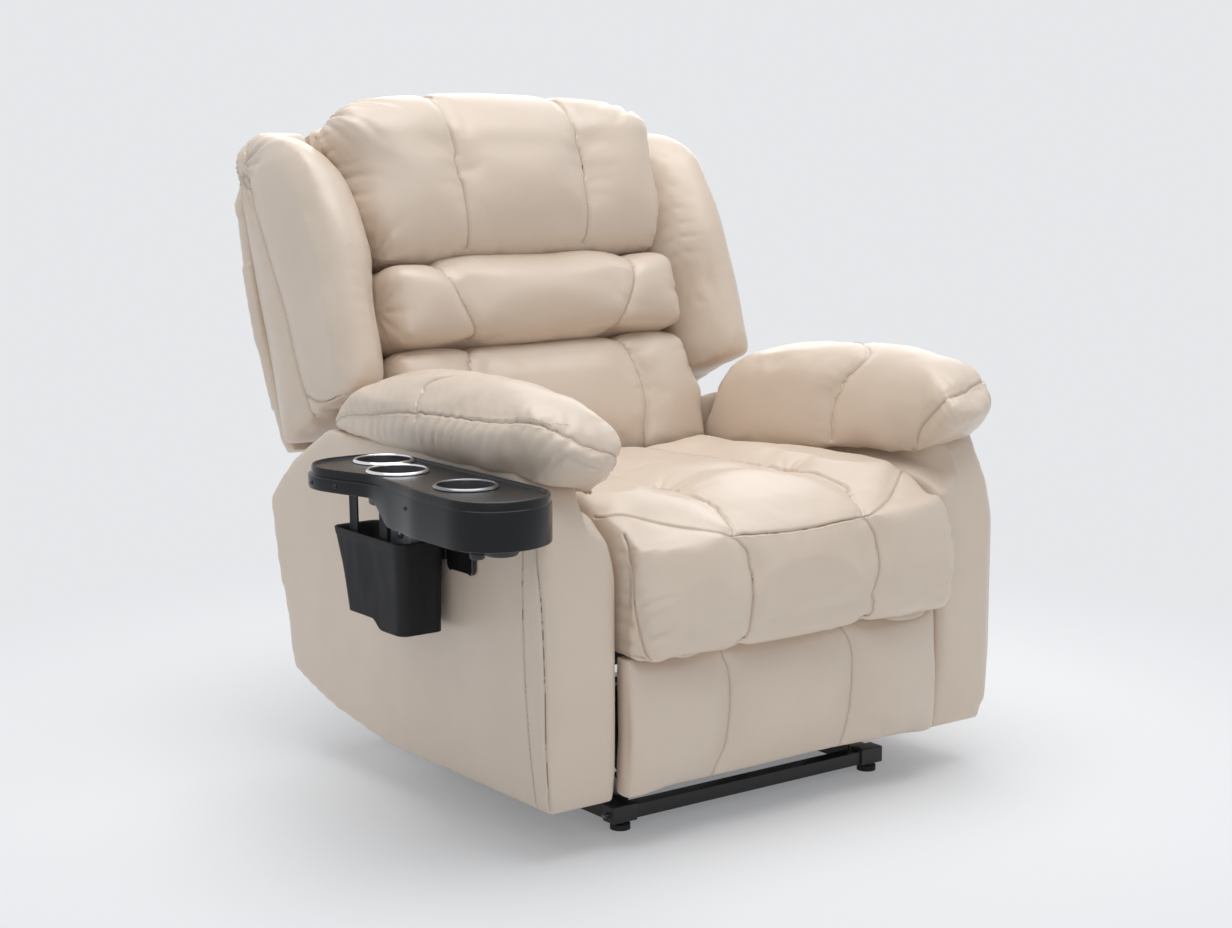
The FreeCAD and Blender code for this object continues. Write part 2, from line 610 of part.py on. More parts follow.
def seat_cushion():
    top = seat_top
    front = nose_front
    side_view = [(104, seat_low), (-262, seat_low), (-262, nose_low + 20), (-372, nose_low)]
    side_view += [((-404, nose_low + 10), (-424, nose_low + 46))]
    side_view += [((front - 2, 390), (front, top - 36)), ((-300, top), (-100, top + 3)), (132, top - 4)]
    body = prism("seat_side_view", "side", side_view, -seat_half, 2 * seat_half)
    half = seat_half
    seam = seam_half
    front_view = [(-half + 6, nose_low - 5), ((-half - 4, 380), (-half + 10, top - 24))]
    front_view += [((-(half + seam) / 2, top + 2), (-seam, top - 6)), ((0, top + 8), (seam, top - 6))]
    front_view += [(((half + seam) / 2, top + 2), (half - 10, top - 24)), ((half + 4, 380), (half - 6, nose_low - 5))]
    crown = prism("seat_front_view", "front", front_view, front - 10, 160 - front)
    lobes = [(-half - 6, 140), (-half - 6, -330), ((-half + 4, front + 40), (-half + 22, front + 14))]
    lobes += [((-(half + seam) / 2, front - 1), (-seam, front + 9)), ((0, front - 3), (seam, front + 9))]
    lobes += [(((half + seam) / 2, front - 1), (half - 22, front + 14))]
    lobes += [((half - 4, front + 40), (half + 6, -330)), (half + 6, 140)]
    plan = prism("seat_plan_view", "plan", lobes, nose_low - 10, top - nose_low + 30)
    keep(common("seat_cushion", [body, crown, plan]), "seat_cushion")


# Back: drawn upright in its own axes, then leaned about X
LEAN = FreeCAD.Placement(V(0, back_foot[0], back_foot[1]), FreeCAD.Rotation(V(1, 0, 0), -back_lean))


def leaned(shape_object, label):
    """A sub-part of the back, turned to the back's lean."""
    shape_object.Placement = LEAN.multiply(shape_object.Placement)
    return keep(shape_object, label)


def in_back(point):
    """A frame point (Y, Z) in the back's own axes (rearward, up the back)."""
    angle = math.radians(back_lean)
    across = point[0] - back_foot[0]
    rise = point[1] - back_foot[1]
    return (across * math.cos(angle) - rise * math.sin(angle), across * math.sin(angle) + rise * math.cos(angle))


def back_cushion(label, half, side_view, low, high, front, seam, groove, crown=0):
    """A back cushion with three lobes, drawn in the back's own axes."""
    body = prism(label + "_side", "side", side_view, -half - 5, 2 * half + 10)
    rear = back_board_at
    plan = [(-half, rear), ((-half - 3, rear - 60), (-half + 12, front + 22))]
    plan += [((-(half + seam) / 2, front), (-seam, front + groove)), ((0, front - 2), (seam, front + groove))]
    plan += [(((half + seam) / 2, front), (half - 12, front + 22)), ((half + 3, rear - 60), (half, rear))]
    lobes = prism(label + "_plan", "plan", plan, low, high - low)
    pieces = [body, lobes]
    if crown:
        near = high - crown * 0.12
        curl = high - crown * 0.35
        outline = [(-half, low - 5), (-half, high - crown), ((-half * 0.93, curl), (-half * 0.76, near))]
        outline += [((0, high + 2), (half * 0.76, near)), ((half * 0.93, curl), (half, high - crown))]
        outline += [(half, low - 5)]
        pieces.append(prism(label + "_crown", "front", outline, front - 30, rear - front + 40))
    return leaned(common(label, pieces), label)


def back_upholstery():
    rear = back_board_at
    wide = seat_half - 2
    low = lower_low
    high = lumbar_low - 1
    lower = [(40, low), (-70, low), ((-104, low + 14), (-118, low + 56))]
    lower += [((-126, (low + high) / 2 + 10), (-112, high - 10)), ((-90, high - 2), (-60, high)), (40, high)]
    body = prism("lower_back_side", "side", lower, -wide, 2 * wide)
    plan = [(-wide, 40), (-wide - 1, -70), ((-wide + 2, -108), (-wide + 22, -118))]
    plan += [((-(wide + 143) / 2, -126), (-143, -116)), ((0, -128), (143, -116))]
    plan += [(((wide + 143) / 2, -126), (wide - 22, -118)), ((wide - 2, -108), (wide + 1, -70)), (wide, 40)]
    lobes = prism("lower_back_plan", "plan", plan, low - 2, high - low + 2)
    inside = board_half - 1
    trim = [(-wide, 0), (-wide, 120), ((-wide + 4, 132), (-inside, 136)), (-inside, high + 4)]
    trim += [(inside, high + 4), (inside, 136), ((wide - 4, 132), (wide, 120)), (wide, 0)]
    front = prism("lower_back_front", "front", trim, -140, 200)
    soft = common("lower_back_soft", [body, lobes, front])
    block = box("lower_back_block", (-inside, 39, low), (inside, rear, high))
    leaned(fuse("lower_back_cushion", [soft, block]), "lower_back_cushion")
    half = board_half + 1
    low = lumbar_low
    high = lumbar_high
    lumbar = [(rear, low), (-60, low), ((-128, low + 5), (-146, low + 45)), ((-150, high - 47), (-122, high - 11))]
    lumbar += [((-96, high - 1), (-50, high)), (rear, high)]
    back_cushion("lumbar_roll", half, lumbar, low, high, -151, 143, 8)
    low = lumbar_high + 1
    high = head_high
    head = [(rear, low), (-50, low), ((-104, low + 6), (-130, low + 42)), ((-146, low + 102), (-136, high - 120))]
    head += [((-114, high - 40), (-56, high - 6)), ((-10, high + 4), (rear, high - 20))]
    back_cushion("headrest_pillow", half, head, low, high, -145, 123, 9, 52)
    wing_in = board_half + plate_thick
    front = -165
    top = wing_top
    side_view = [(panel_front, 128), (-30, 160), (-146, 168), ((front - 2, 200), (front, 300))]
    side_view += [((-166, top - 210), (-138, top - 150)), ((-104, top - 60), (-44, top - 10))]
    side_view += [((20, top + 12), (panel_front, top - 2))]
    for label, sign in (("wing_left", -1), ("wing_right", 1)):
        start = min(sign * wing_in, sign * (wing_outer + 4))
        body = prism(label + "_side", "side", side_view, start, wing_outer + 4 - wing_in)
        middle = (wing_in + wing_outer) / 2
        plan = [(sign * wing_in, panel_front), (sign * wing_in, front + 36)]
        plan += [((sign * (wing_in + 18), front + 6), (sign * middle, front - 1))]
        plan += [((sign * (wing_outer - 16), front + 10), (sign * (wing_outer - 2), front + 60))]
        plan += [((sign * (wing_outer + 2), -20), (sign * (wing_outer - 8), panel_front))]
        trim = prism(label + "_plan", "plan", plan, 100, top - 70)
        shoulder = [(sign * wing_in, 110), (sign * (wing_outer - 8), 110)]
        shoulder += [((sign * (wing_outer + 3), top - 250), (sign * (wing_outer - 6), top - 60))]
        shoulder += [((sign * (wing_outer - 26), top - 10), (sign * middle, top + 6)), (sign * wing_in, top)]
        shape = prism(label + "_front", "front", shoulder, front - 20, panel_front - front + 40)
        leaned(common(label, [body, trim, shape]), label)


def back_frame():
    board_rear = back_board_at + back_board_thick
    board = box("back_board", (-board_half, back_board_at, 0), (board_half, board_rear, back_board_tall))
    leaned(board, "back_board")
    half = panel_half
    top = wing_top
    outline = [(-half + 16, 122), (half - 16, 122), ((half + 2, 300), (half - 6, top - 90))]
    outline += [((half - 20, top - 28), (half - 76, top - 10)), ((0, top), (-half + 76, top - 10))]
    outline += [((-half + 20, top - 28), (-half + 6, top - 90)), ((-half - 2, 300), (-half + 16, 122))]
    leaned(prism("back_panel", "front", outline, panel_front, panel_thick), "back_panel")
    pivot = in_back(back_pivot)
    crank = in_back(back_crank)
    foot = back_board_at
    reach = link_radius + 3
    behind = foot + back_board_thick + 8
    outline = [(crank[0] + 9, crank[1] - 9), (pivot[0] + reach, pivot[1]), (behind, 20), (behind, 160)]
    outline += [(foot - 16, 160), (foot - 16, 6), (pivot[0] - reach, pivot[1] + 4)]
    outline += [((pivot[0] - 12, pivot[1] - 9), (pivot[0] - 4, pivot[1] - reach))]
    outline += [(crank[0] - 12, crank[1] - 6), ((crank[0] - 2, crank[1] - 13), (crank[0] + 9, crank[1] - 9))]
    arm = plate("back_arm", outline, [], "Sizes.board_half")
    arm.Placement = LEAN.multiply(FreeCAD.Placement(V(0, 0, 0), UPRIGHT))
    arm.setExpression("Placement.Base.x", "Sizes.board_half")
    hinge = pin("back_hinge_pin", back_pivot, board_half + 1, seat_plane + plate_thick + 1)
    both_sides("back_brackets", fuse("back_bracket", [arm, hinge]))
    tube = pin("back_cross_tube", back_crank, -board_half, board_half, back_tube_radius)
    keep(tube, "back_cross_tube")


# Linear drives
def drive(prefix, tail, eye, case_at, sleeve_end, eye_radius):
    """A geared motor with its sleeve, and the sliding rod that it drives, on the line from tail to eye."""
    along = V(0, eye[0] - tail[0], eye[1] - tail[1])
    length = along.Length
    place = FreeCAD.Placement(V(0, tail[0], tail[1]), FreeCAD.Rotation(V(0, 0, 1), along))

    def on_line(piece):
        piece.Placement = place.multiply(piece.Placement)
        return piece

    case_long = 62
    tail_eye = rod(prefix + "_tail_eye", 11, (-12, tail[0], tail[1]), "X", 24)
    stem = on_line(rod(prefix + "_tail_stem", 9, (0, 0, 4), "Z", case_at))
    case = on_line(box(prefix + "_gear_case", (-24, -26, case_at), (24, 26, case_at + case_long)))
    can = on_line(rod(prefix + "_motor_can", 21, (-72, 0, case_at + case_long / 2), "X", 50))
    sleeve_at = case_at + case_long - 2
    sleeve = on_line(rod(prefix + "_sleeve", drive_rod_radius + 6, (0, 0, sleeve_at), "Z", sleeve_end - sleeve_at))
    bore = on_line(rod(prefix + "_bore", drive_rod_radius + run_gap, (0, 0, sleeve_at + 8), "Z", sleeve_end))
    hole = rod(prefix + "_tail_hole", pin_radius + fit_gap, (-30, tail[0], tail[1]), "X", 60)
    body = fuse(prefix + "_motor_body", [tail_eye, stem, case, sleeve, can])
    drilled = cut(prefix + "_motor_drilled", body, bore)
    keep(cut(prefix + "_motor", drilled, hole), prefix + "_motor")
    shaft_at = sleeve_at + 60
    shaft = on_line(rod(prefix + "_shaft", drive_rod_radius, (0, 0, shaft_at), "Z", length - shaft_at - eye_radius + 4))
    end = rod(prefix + "_rod_eye", eye_radius, (-7, eye[0], eye[1]), "X", 14)
    return fuse(prefix + "_rod_body", [shaft, end])


def drives():
    lift = drive("lift", lift_tail, crank_eye, 26, 330, 9)
    cross = pin("lift_rod_pin", crank_eye, -17, 17)
    keep(fuse("lift_rod", [lift, cross]), "lift_rod")
    back = drive("back", back_tail, back_crank, 24, 290, back_tube_radius + 9)
    hole = rod("back_eye_hole", back_tube_radius + motor_play - 1, (-20, back_crank[0], back_crank[1]), "X", 40)
    keep(cut("back_rod", back, hole), "back_rod")


# Tray, cup wells, straps, pocket and control panel on the left arm
def tray():
    def out(distance, y):
        """A plan point at a distance outwards from the tray's inner edge."""
        return (tray_inner - distance, y)

    lobe_side = [out(154, -430), (out(140, -482), out(96, -511)), (out(28, -492), out(0, -424))]
    outline = [out(0, -112), (out(18, -54), out(78, -38)), (out(148, -58), out(169, -116))]
    outline += [(out(156, -165), out(140, -206)), (out(142, -270), out(153, -340))] + lobe_side
    slab = prism("tray_slab", "plan", outline, tray_top - 30, 30)
    skirt = [out(0, -226), out(144, -226), (out(146, -290), out(153, -340))] + lobe_side
    deep = prism("tray_deep_lobe", "plan", skirt, tray_top - 64, 40)
    shell = fuse("tray_solid", [slab, deep])
    bores = []
    for index, (x, y) in enumerate(cup_places):
        bores.append(rod(f"tray_hole_{index}", cup_radius + cup_wall + 0.2, (x, y, tray_top - 90), "Z", 120))
    keep(cut("tray_body", shell, fuse("tray_holes", bores)), "tray_body")
    wells = []
    rings = []
    for index, (x, y) in enumerate(cup_places):
        outer = rod(f"well_outer_{index}", cup_radius + cup_wall, (x, y, tray_top - cup_deep), "Z", cup_deep)
        hollow = rod(f"well_hollow_{index}", cup_radius, (x, y, tray_top - cup_deep + tray_floor), "Z", cup_deep)
        wells.append(cut(f"well_{index}", outer, hollow))
        ring = rod(f"ring_outer_{index}", ring_radius, (x, y, tray_top), "Z", ring_thick)
        throat = rod(f"ring_throat_{index}", cup_radius, (x, y, tray_top - 5), "Z", 20)
        rings.append(cut(f"ring_{index}", ring, throat))
    keep(group("cup_wells", wells), "cup_wells")
    keep(group("tray_rings", rings), "tray_rings")
    knob_x, knob_y = out(114, -440)
    stem = rod("knob_stem", 5, (knob_x, knob_y, tray_top - 72), "Z", 8)
    head = rod("knob_head", 10, (knob_x, knob_y, tray_top - 80), "Z", 9)
    keep(fuse("knob", [stem, head]), "tray_knob")


def hung_pocket():
    """The bracket on the arm, its two hanger straps and the open pocket that they carry."""
    side = -arm_belly_half - run_gap
    hung_from = tray_top - 30
    mount = box("mount_plate", (side - plate_thick, -180, hung_from - 106), (side, -30, hung_from))
    beams = []
    for index, y in enumerate(beam_places):
        beams.append(box(f"mount_beam_{index}", (strap_plane, y, hung_from - 16), (side, y + beam_thick, hung_from)))
    hook = box("pocket_hook", (pocket_back, -180, pocket_top - 30), (side, -30, pocket_top - 8))
    keep(fuse("tray_bracket", [mount, hook] + beams), "tray_bracket")
    wall = pocket_wall
    outer_top = (strap_plane - 8, -190, pocket_back, 2)
    outer_low = (strap_plane - 2, -184, pocket_back - 4, -28)
    inner_top = (outer_top[0] + wall, outer_top[1] + wall, outer_top[2] - wall, outer_top[3] - wall)
    inner_low = (outer_low[0] + wall, outer_low[1] + wall, outer_low[2] - wall, outer_low[3] - wall)
    outer = tapered("pocket_outer", outer_low, pocket_low, outer_top, pocket_top)
    inner = tapered("pocket_inner", inner_low, pocket_low + wall, inner_top, pocket_top + 2)
    keep(cut("pocket", outer, inner), "pocket")
    straps = []
    for index, (y, width) in enumerate(((beam_places[0] + 0.5, 12), (beam_places[1] - 12, 18))):
        low = (strap_plane, y, pocket_low + 50)
        straps.append(box(f"strap_{index}", low, (strap_plane + 3, y + width, hung_from - 16)))
    keep(group("hanger_straps", straps), "hanger_straps")
    panel = [(-276, 398), ((-274, 386), (-260, 384)), (-200, 384), ((-186, 386), (-184, 398))]
    panel += [(-182, 470), (-284, 470)]
    keep(prism("control_panel", "side", panel, side - 8, 8), "control_panel")


def tapered(name, low, low_z, high, high_z):
    """A four-sided loft between two rectangles (x0, y0, x1, y1)."""
    sketches = []
    for tag, (x0, y0, x1, y1), z in (("low", low, low_z), ("high", high, high_z)):
        sketch = doc.addObject("Sketcher::SketchObject", f"{name}_{tag}")
        sketch.Placement = FreeCAD.Placement(V(0, 0, z), UPRIGHT)
        draw(sketch, [(x0, y0), (x1, y0), (x1, y1), (x0, y1), (x0, y0)])
        sketches.append(sketch)
    loft = doc.addObject("Part::Loft", name)
    loft.Sections = sketches
    loft.Solid = True
    loft.Ruled = True
    return loft


def handset():
    """The hand control that stands in the pocket, with its two keys."""
    stand = pocket_low + pocket_wall + 8.3
    middle = -152
    outline = [(-27, 0), ((-29, 60), (-25, 142)), ((-20, 156), (0, 158)), ((20, 156), (25, 142)), ((29, 60), (27, 0))]
    outline += [((0, -8), (-27, 0))]
    body = prism("handset_body", "side", outline, -11, 22)
    centre = pocket_back - 46
    body.Placement = FreeCAD.Placement(V(centre, middle, stand), UPRIGHT)
    face = centre - 11
    sockets = []
    for label, rise in (("key_raise", 134), ("key_lower", 110)):
        key = rod(label + "_cap", 8, (face - 1.6, middle, stand + rise), "X", 5)
        keep(key, label)
        sockets.append(rod(label + "_socket", 8 + run_gap, (face - 5, middle, stand + rise), "X", 10))
    keep(cut("handset", body, fuse("key_sockets", sockets)), "handset")


def export_all():
    os.makedirs("parts", exist_ok=True)
    doc.recompute()
    for obj in doc.Objects:
        if "Invalid" in obj.State or "Error" in obj.State:
            raise RuntimeError(f"{obj.Name} {obj.State}")
    for obj in parts:
        shape = obj.Shape
        if shape.isNull() or not shape.isValid() or not shape.Solids:
            raise RuntimeError(f"{obj.Label} has no valid solid")
        shape.exportStep(f"parts/{obj.Label}.step")
        span = shape.BoundBox
        print(f"{obj.Label}: {len(shape.Solids)} solids, {shape.Volume / 1000:.0f} cm3, "
              f"x {span.XMin:.0f} {span.XMax:.0f} y {span.YMin:.0f} {span.YMax:.0f} z {span.ZMin:.0f} {span.ZMax:.0f}")


floor_frame()
floor_brackets()
lift_linkage()
chassis()
seat_frame()
zigzag("seat_springs")
footrest_linkage()
footrest_panel()
left_arm = arm_body("arm_body_right")
keep(left_arm, "arm_body_right")
keep(mirrored("arm_body_left", left_arm), "arm_body_left")
right_pad = arm_pad("arm_pad_right")
keep(right_pad, "arm_pad_right")
keep(mirrored("arm_pad_left", right_pad), "arm_pad_left")
seat_cushion()
back_frame()
back_upholstery()
drives()
tray()
hung_pocket()
handset()
export_all()
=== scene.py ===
# %% [markdown]
# # A padded lift recliner, dressed piece by piece
#
# The frame of this chair was drawn in CAD: steel links, rails, boards and plain solids where the
# cushions go. This lesson dresses it. Every cushion is sewn and inflated, every seam is stitched,
# and each surface gets a material made of nodes. Lengths are in metres, +Z is up and the chair
# faces -Y.

# %% Load the frame
import math

import bmesh
import bpy
import numpy as np
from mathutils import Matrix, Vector, noise
from mathutils.bvhtree import BVHTree


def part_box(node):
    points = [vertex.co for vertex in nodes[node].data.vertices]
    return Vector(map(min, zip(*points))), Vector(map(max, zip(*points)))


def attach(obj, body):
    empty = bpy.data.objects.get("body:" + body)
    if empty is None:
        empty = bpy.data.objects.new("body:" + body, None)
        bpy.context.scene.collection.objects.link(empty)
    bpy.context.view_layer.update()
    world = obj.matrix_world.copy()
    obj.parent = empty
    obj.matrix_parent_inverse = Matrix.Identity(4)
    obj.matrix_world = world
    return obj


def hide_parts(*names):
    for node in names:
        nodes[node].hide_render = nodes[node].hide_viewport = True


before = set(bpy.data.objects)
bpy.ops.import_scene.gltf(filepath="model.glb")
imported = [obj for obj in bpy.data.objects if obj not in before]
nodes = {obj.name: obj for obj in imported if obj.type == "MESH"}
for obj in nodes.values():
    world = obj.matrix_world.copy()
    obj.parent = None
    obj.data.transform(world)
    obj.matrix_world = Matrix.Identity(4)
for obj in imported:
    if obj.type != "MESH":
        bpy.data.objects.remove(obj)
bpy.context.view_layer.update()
scene = bpy.context.scene

# %% [markdown]
# ## The camera
#
# The photograph was taken from the front, a little to the chair's right and just above seat
# height, with a long lens. The camera looks at a point in the middle of the chair from 3.6 m
# away. A long lens from far off keeps upright edges nearly parallel.

# %% Camera
VIEW_TARGET = Vector((-0.008888, 0.005196, 0.472918))
VIEW_AZIMUTH = math.radians(-36.73736)
VIEW_ELEVATION = math.radians(9.241627)
VIEW_DISTANCE = 3.57243
LENS = 65.12
SENSOR_WIDTH = 36


def new_object(name, data):
    """An object for a mesh, lamp or camera, linked into the scene."""
    made = bpy.data.objects.new(name, data)
    scene.collection.objects.link(made)
    return made


def facing(direction):
    """The rotation of a lamp or camera whose back points along a direction."""
    return direction.to_track_quat("Z", "Y").to_euler()


away = Vector((math.sin(VIEW_AZIMUTH) * math.cos(VIEW_ELEVATION),
               -math.cos(VIEW_AZIMUTH) * math.cos(VIEW_ELEVATION),
               math.sin(VIEW_ELEVATION)))
camera = new_object("camera", bpy.data.cameras.new("camera"))
camera.data.lens = LENS
camera.data.sensor_width = SENSOR_WIDTH
camera.location = VIEW_TARGET + away * VIEW_DISTANCE
camera.rotation_euler = facing(away)
scene.camera = camera
print("camera at", tuple(round(c, 2) for c in camera.location))

# %% [markdown]
# ## Floor, backdrop and light
#
# The chair stands in a studio: one pale seamless surface, a large soft box overhead, a faint one
# in front and a weaker one behind. The floor keeps the chair's shadow near it, lightened there by a
# painted glow: about a quarter of the backdrop's colour shines from the floor for the camera.
# Farther out it shows the backdrop's own colour, so that no horizon line cuts across the picture.

# %% Studio
BACKDROP = (0.79, 0.805, 0.825)
FLOOR_PAINT = (0.86, 0.87, 0.88)
FLOOR_HALF, FLOOR_DROP = 30, -0.0005
SKY_TINT, SKY_STRENGTH = (0.93, 0.96, 1.0), 0.50
# GLOW_AT_CHAIR: the share of backdrop glow painted into the floor next to the chair, which lightens its
# shadow.
SHADOW_ENDS, BACKDROP_STARTS, GLOW_AT_CHAIR = 1.7, 0.50, 0.24
LAMPS = {"overhead_box": ((-0.15, -0.25, 4.4), (0.0, -0.10, 0.4), (4.2, 3.9), 136),
         "front_box": ((-2.2, -3.0, 1.3), (0.0, -0.1, 0.5), (1.6, 1.4), 3),
         "rear_box": ((1.9, 2.3, 2.1), (0.0, 0.0, 0.7), (3.0, 2.0), 25)}


def add(tree, kind, inputs=None, **settings):
    """Add one node: settings are its own fields, inputs are values, sockets or nodes by name or number."""
    node = tree.nodes.new(kind)
    for field, value in settings.items():
        setattr(node, field, value)
    for key, value in (inputs or {}).items():
        if isinstance(value, bpy.types.Node):
            value = value.outputs[0]
        if isinstance(value, bpy.types.NodeSocket):
            tree.links.new(value, node.inputs[key])
        else:
            node.inputs[key].default_value = value
    return node


def new_material(name):
    """An empty node material, its tree and the place on the object that its patterns start from."""
    material = bpy.data.materials.new(name)
    material.use_nodes = True
    tree = material.node_tree
    tree.nodes.clear()
    return material, tree, add(tree, "ShaderNodeTexCoord").outputs["Object"]


def seen_or_lit(tree, seen, lit, share=None):
    """One shader for what the camera and mirrors see, another one for what lights the chair."""
    path = add(tree, "ShaderNodeLightPath")
    direct = add(tree, "ShaderNodeMath", {0: path.outputs["Is Camera Ray"], 1: path.outputs["Is Glossy Ray"]},
                 operation="MAXIMUM")
    if share is not None:
        direct = add(tree, "ShaderNodeMath", {0: share, 1: direct}, operation="MULTIPLY")
    return add(tree, "ShaderNodeMixShader", {0: direct, 1: lit, 2: seen})


world = bpy.data.worlds.new("studio")
world.use_nodes = True
scene.world = world
sky = world.node_tree
sky.nodes.clear()
fill = add(sky, "ShaderNodeBackground", {"Color": (*SKY_TINT, 1), "Strength": SKY_STRENGTH})
shown = add(sky, "ShaderNodeBackground", {"Color": (*BACKDROP, 1), "Strength": 1.0})
add(sky, "ShaderNodeOutputWorld", {"Surface": seen_or_lit(sky, shown, fill)})

floor_material, tree, place = new_material("studio_floor")
far = add(tree, "ShaderNodeVectorMath", {0: place}, operation="LENGTH")
# Painted light: next to the chair the floor shows GLOW_AT_CHAIR of the backdrop's glow to the camera,
# lightening the chair's shadow. Farther out it shows all of it.
backdrop_glow_share = add(tree, "ShaderNodeMapRange", {"Value": far.outputs["Value"], "From Min": BACKDROP_STARTS,
                                        "From Max": SHADOW_ENDS, "To Min": GLOW_AT_CHAIR},
           interpolation_type="SMOOTHSTEP")
paint = add(tree, "ShaderNodeBsdfPrincipled", {"Base Color": (*FLOOR_PAINT, 1), "Roughness": 0.9,
                                               "Specular IOR Level": 0.1})
glow = add(tree, "ShaderNodeEmission", {"Color": (*BACKDROP, 1), "Strength": 1.0})
add(tree, "ShaderNodeOutputMaterial", {"Surface": seen_or_lit(tree, glow, paint, backdrop_glow_share)})

mesh = bpy.data.meshes.new("studio_floor")
corners = [(x * FLOOR_HALF, y * FLOOR_HALF, FLOOR_DROP) for x, y in ((-1, -1), (1, -1), (1, 1), (-1, 1))]
mesh.from_pydata(corners, [], [(0, 1, 2, 3)])
mesh.materials.append(floor_material)
floor = new_object("studio_floor", mesh)

for name, (at, towards, size, watts) in LAMPS.items():
    lamp = bpy.data.lights.new(name, "AREA")
    lamp.shape = "RECTANGLE"
    lamp.size, lamp.size_y = size
    lamp.energy = watts
    holder = new_object(name, lamp)
    holder.location = at
    holder.rotation_euler = facing(Vector(at) - Vector(towards))
scene.view_settings.view_transform = "Standard"
print("studio: floor, world and", len(bpy.data.lights), "lamps")

# %% [markdown]
# ## Patterns that several finishes share
#
# Grain, weave and wear are patterns, and a pattern can serve more than one material. Each is a
# node group with its own inputs, so that leather and moulded plastic use the same pebbles at
# different sizes. A group only puts out values: the shader that uses them stays in the material.


# %% Shared pattern groups
FLOAT, VECTOR = "NodeSocketFloat", "NodeSocketVector"


def node_group(name, kind, inputs, outputs):
    """A node group with named inputs and outputs, and its two end nodes."""
    group = bpy.data.node_groups.new(name, kind)
    for label, socket_type, value in inputs:
        socket = group.interface.new_socket(label, in_out="INPUT", socket_type=socket_type)
        if value is not None:
            socket.default_value = value
    for label, socket_type in outputs:
        group.interface.new_socket(label, in_out="OUTPUT", socket_type=socket_type)
    return group, group.nodes.new("NodeGroupInput"), group.nodes.new("NodeGroupOutput")


def pattern_group(name, inputs, outputs):
    """A shader group that turns a place into values."""
    group, start, end = node_group(name, "ShaderNodeTree", [("Place", VECTOR, None)] + inputs,
                                   [(label, FLOAT) for label in outputs])
    return group, start.outputs, end, start.outputs["Place"]


grain, given, end, place = pattern_group(
    "pebble_grain", [("Cells per metre", FLOAT, 900.0), ("Softness", FLOAT, 0.6)], ["Height", "Mottle"])
warp = add(grain, "ShaderNodeTexNoise", {"Vector": place, "Scale": 60.0, "Detail": 2.0})
bend = add(grain, "ShaderNodeVectorMath", {0: warp.outputs["Color"], "Scale": 0.004}, operation="SCALE")
moved = add(grain, "ShaderNodeVectorMath", {0: place, 1: bend}, operation="ADD")
cells = add(grain, "ShaderNodeTexVoronoi", {"Vector": moved, "Scale": given["Cells per metre"],
                                            "Smoothness": given["Softness"]}, feature="SMOOTH_F1")
fine = add(grain, "ShaderNodeTexNoise", {"Vector": place, "Scale": 2600.0, "Detail": 2.0})
both = add(grain, "ShaderNodeMath", {0: fine, 1: 0.25, 2: cells}, operation="MULTIPLY_ADD")
broad = add(grain, "ShaderNodeTexNoise", {"Vector": place, "Scale": 7.0, "Detail": 3.0, "Roughness": 0.6})
grain.links.new(both.outputs[0], end.inputs["Height"])
grain.links.new(broad.outputs[0], end.inputs["Mottle"])

weave, given, end, place = pattern_group(
    "plain_weave", [("Threads per metre", FLOAT, 1600.0)], ["Height", "Shade"])
parts = add(weave, "ShaderNodeSeparateXYZ", {0: place}).outputs
flat = add(weave, "ShaderNodeMath", {0: parts["X"], 1: parts["Y"]}, operation="ADD")
lines = []
for direction in (flat, parts["Z"]):
    count = add(weave, "ShaderNodeMath", {0: direction, 1: given["Threads per metre"]}, operation="MULTIPLY")
    lines.append(add(weave, "ShaderNodeMath", {0: count}, operation="SINE"))
over = add(weave, "ShaderNodeMath", {0: lines[0], 1: lines[1]}, operation="MULTIPLY")
level = add(weave, "ShaderNodeMapRange", {"Value": over, "From Min": -1.0, "From Max": 1.0})
cloudy = add(weave, "ShaderNodeTexNoise", {"Vector": place, "Scale": 30.0, "Detail": 3.0})
weave.links.new(level.outputs[0], end.inputs["Height"])
weave.links.new(cloudy.outputs[0], end.inputs["Shade"])

wear, given, end, place = pattern_group(
    "surface_wear", [("Patch size", FLOAT, 9.0), ("Scratches", FLOAT, 0.3)], ["Mask", "Height"])
patches = add(wear, "ShaderNodeTexNoise", {"Vector": place, "Scale": given["Patch size"], "Detail": 4.0,
                                           "Roughness": 0.65})
stretch = add(wear, "ShaderNodeVectorMath", {0: place, 1: (40.0, 40.0, 900.0)}, operation="MULTIPLY")
lines = add(wear, "ShaderNodeTexNoise", {"Vector": stretch, "Scale": 1.0, "Detail": 3.0})
mixed = add(wear, "ShaderNodeMath", {0: lines, 1: given["Scratches"], 2: patches}, operation="MULTIPLY_ADD")
wear.links.new(patches.outputs[0], end.inputs["Mask"])
wear.links.new(mixed.outputs[0], end.inputs["Height"])
print("pattern groups:", [group.name for group in bpy.data.node_groups])

# %% [markdown]
# ## The upholstery cover
#
# The cover is a smooth cream leatherette: a very fine pebble, a satin sheen and almost no change
# of colour. Down in the seams a warmer, darker painted shade stands in for the shadow in the grooves.
# Each cushion carries an attribute called seam that says how near a point is to a sewn line, and
# the material reads it to paint that shade.


# %% Cover and thread
COVER = (0.702, 0.588, 0.482)
# The colour of the painted shade down in the seam grooves.
COVER_SEAM_SHADE = (0.44, 0.335, 0.25)
COVER_WARM = (0.684, 0.563, 0.456)


def tinted(tree, share, first, second):
    """A colour between two others, each given as three numbers or as a socket."""
    first, second = [(*colour, 1) if isinstance(colour, tuple) else colour for colour in (first, second)]
    return add(tree, "ShaderNodeMix", {0: share, 6: first, 7: second}, data_type="RGBA").outputs[2]


def surface(tree, colour, rough, height, strength, depth, more=None):
    """The last nodes of a material: a bump, the shader and the output."""
    bump = add(tree, "ShaderNodeBump", {"Height": height, "Strength": strength, "Distance": depth})
    body = add(tree, "ShaderNodeBsdfPrincipled", {"Base Color": colour, "Roughness": rough, "Normal": bump,
                                                  **(more or {})})
    add(tree, "ShaderNodeOutputMaterial", {"Surface": body})


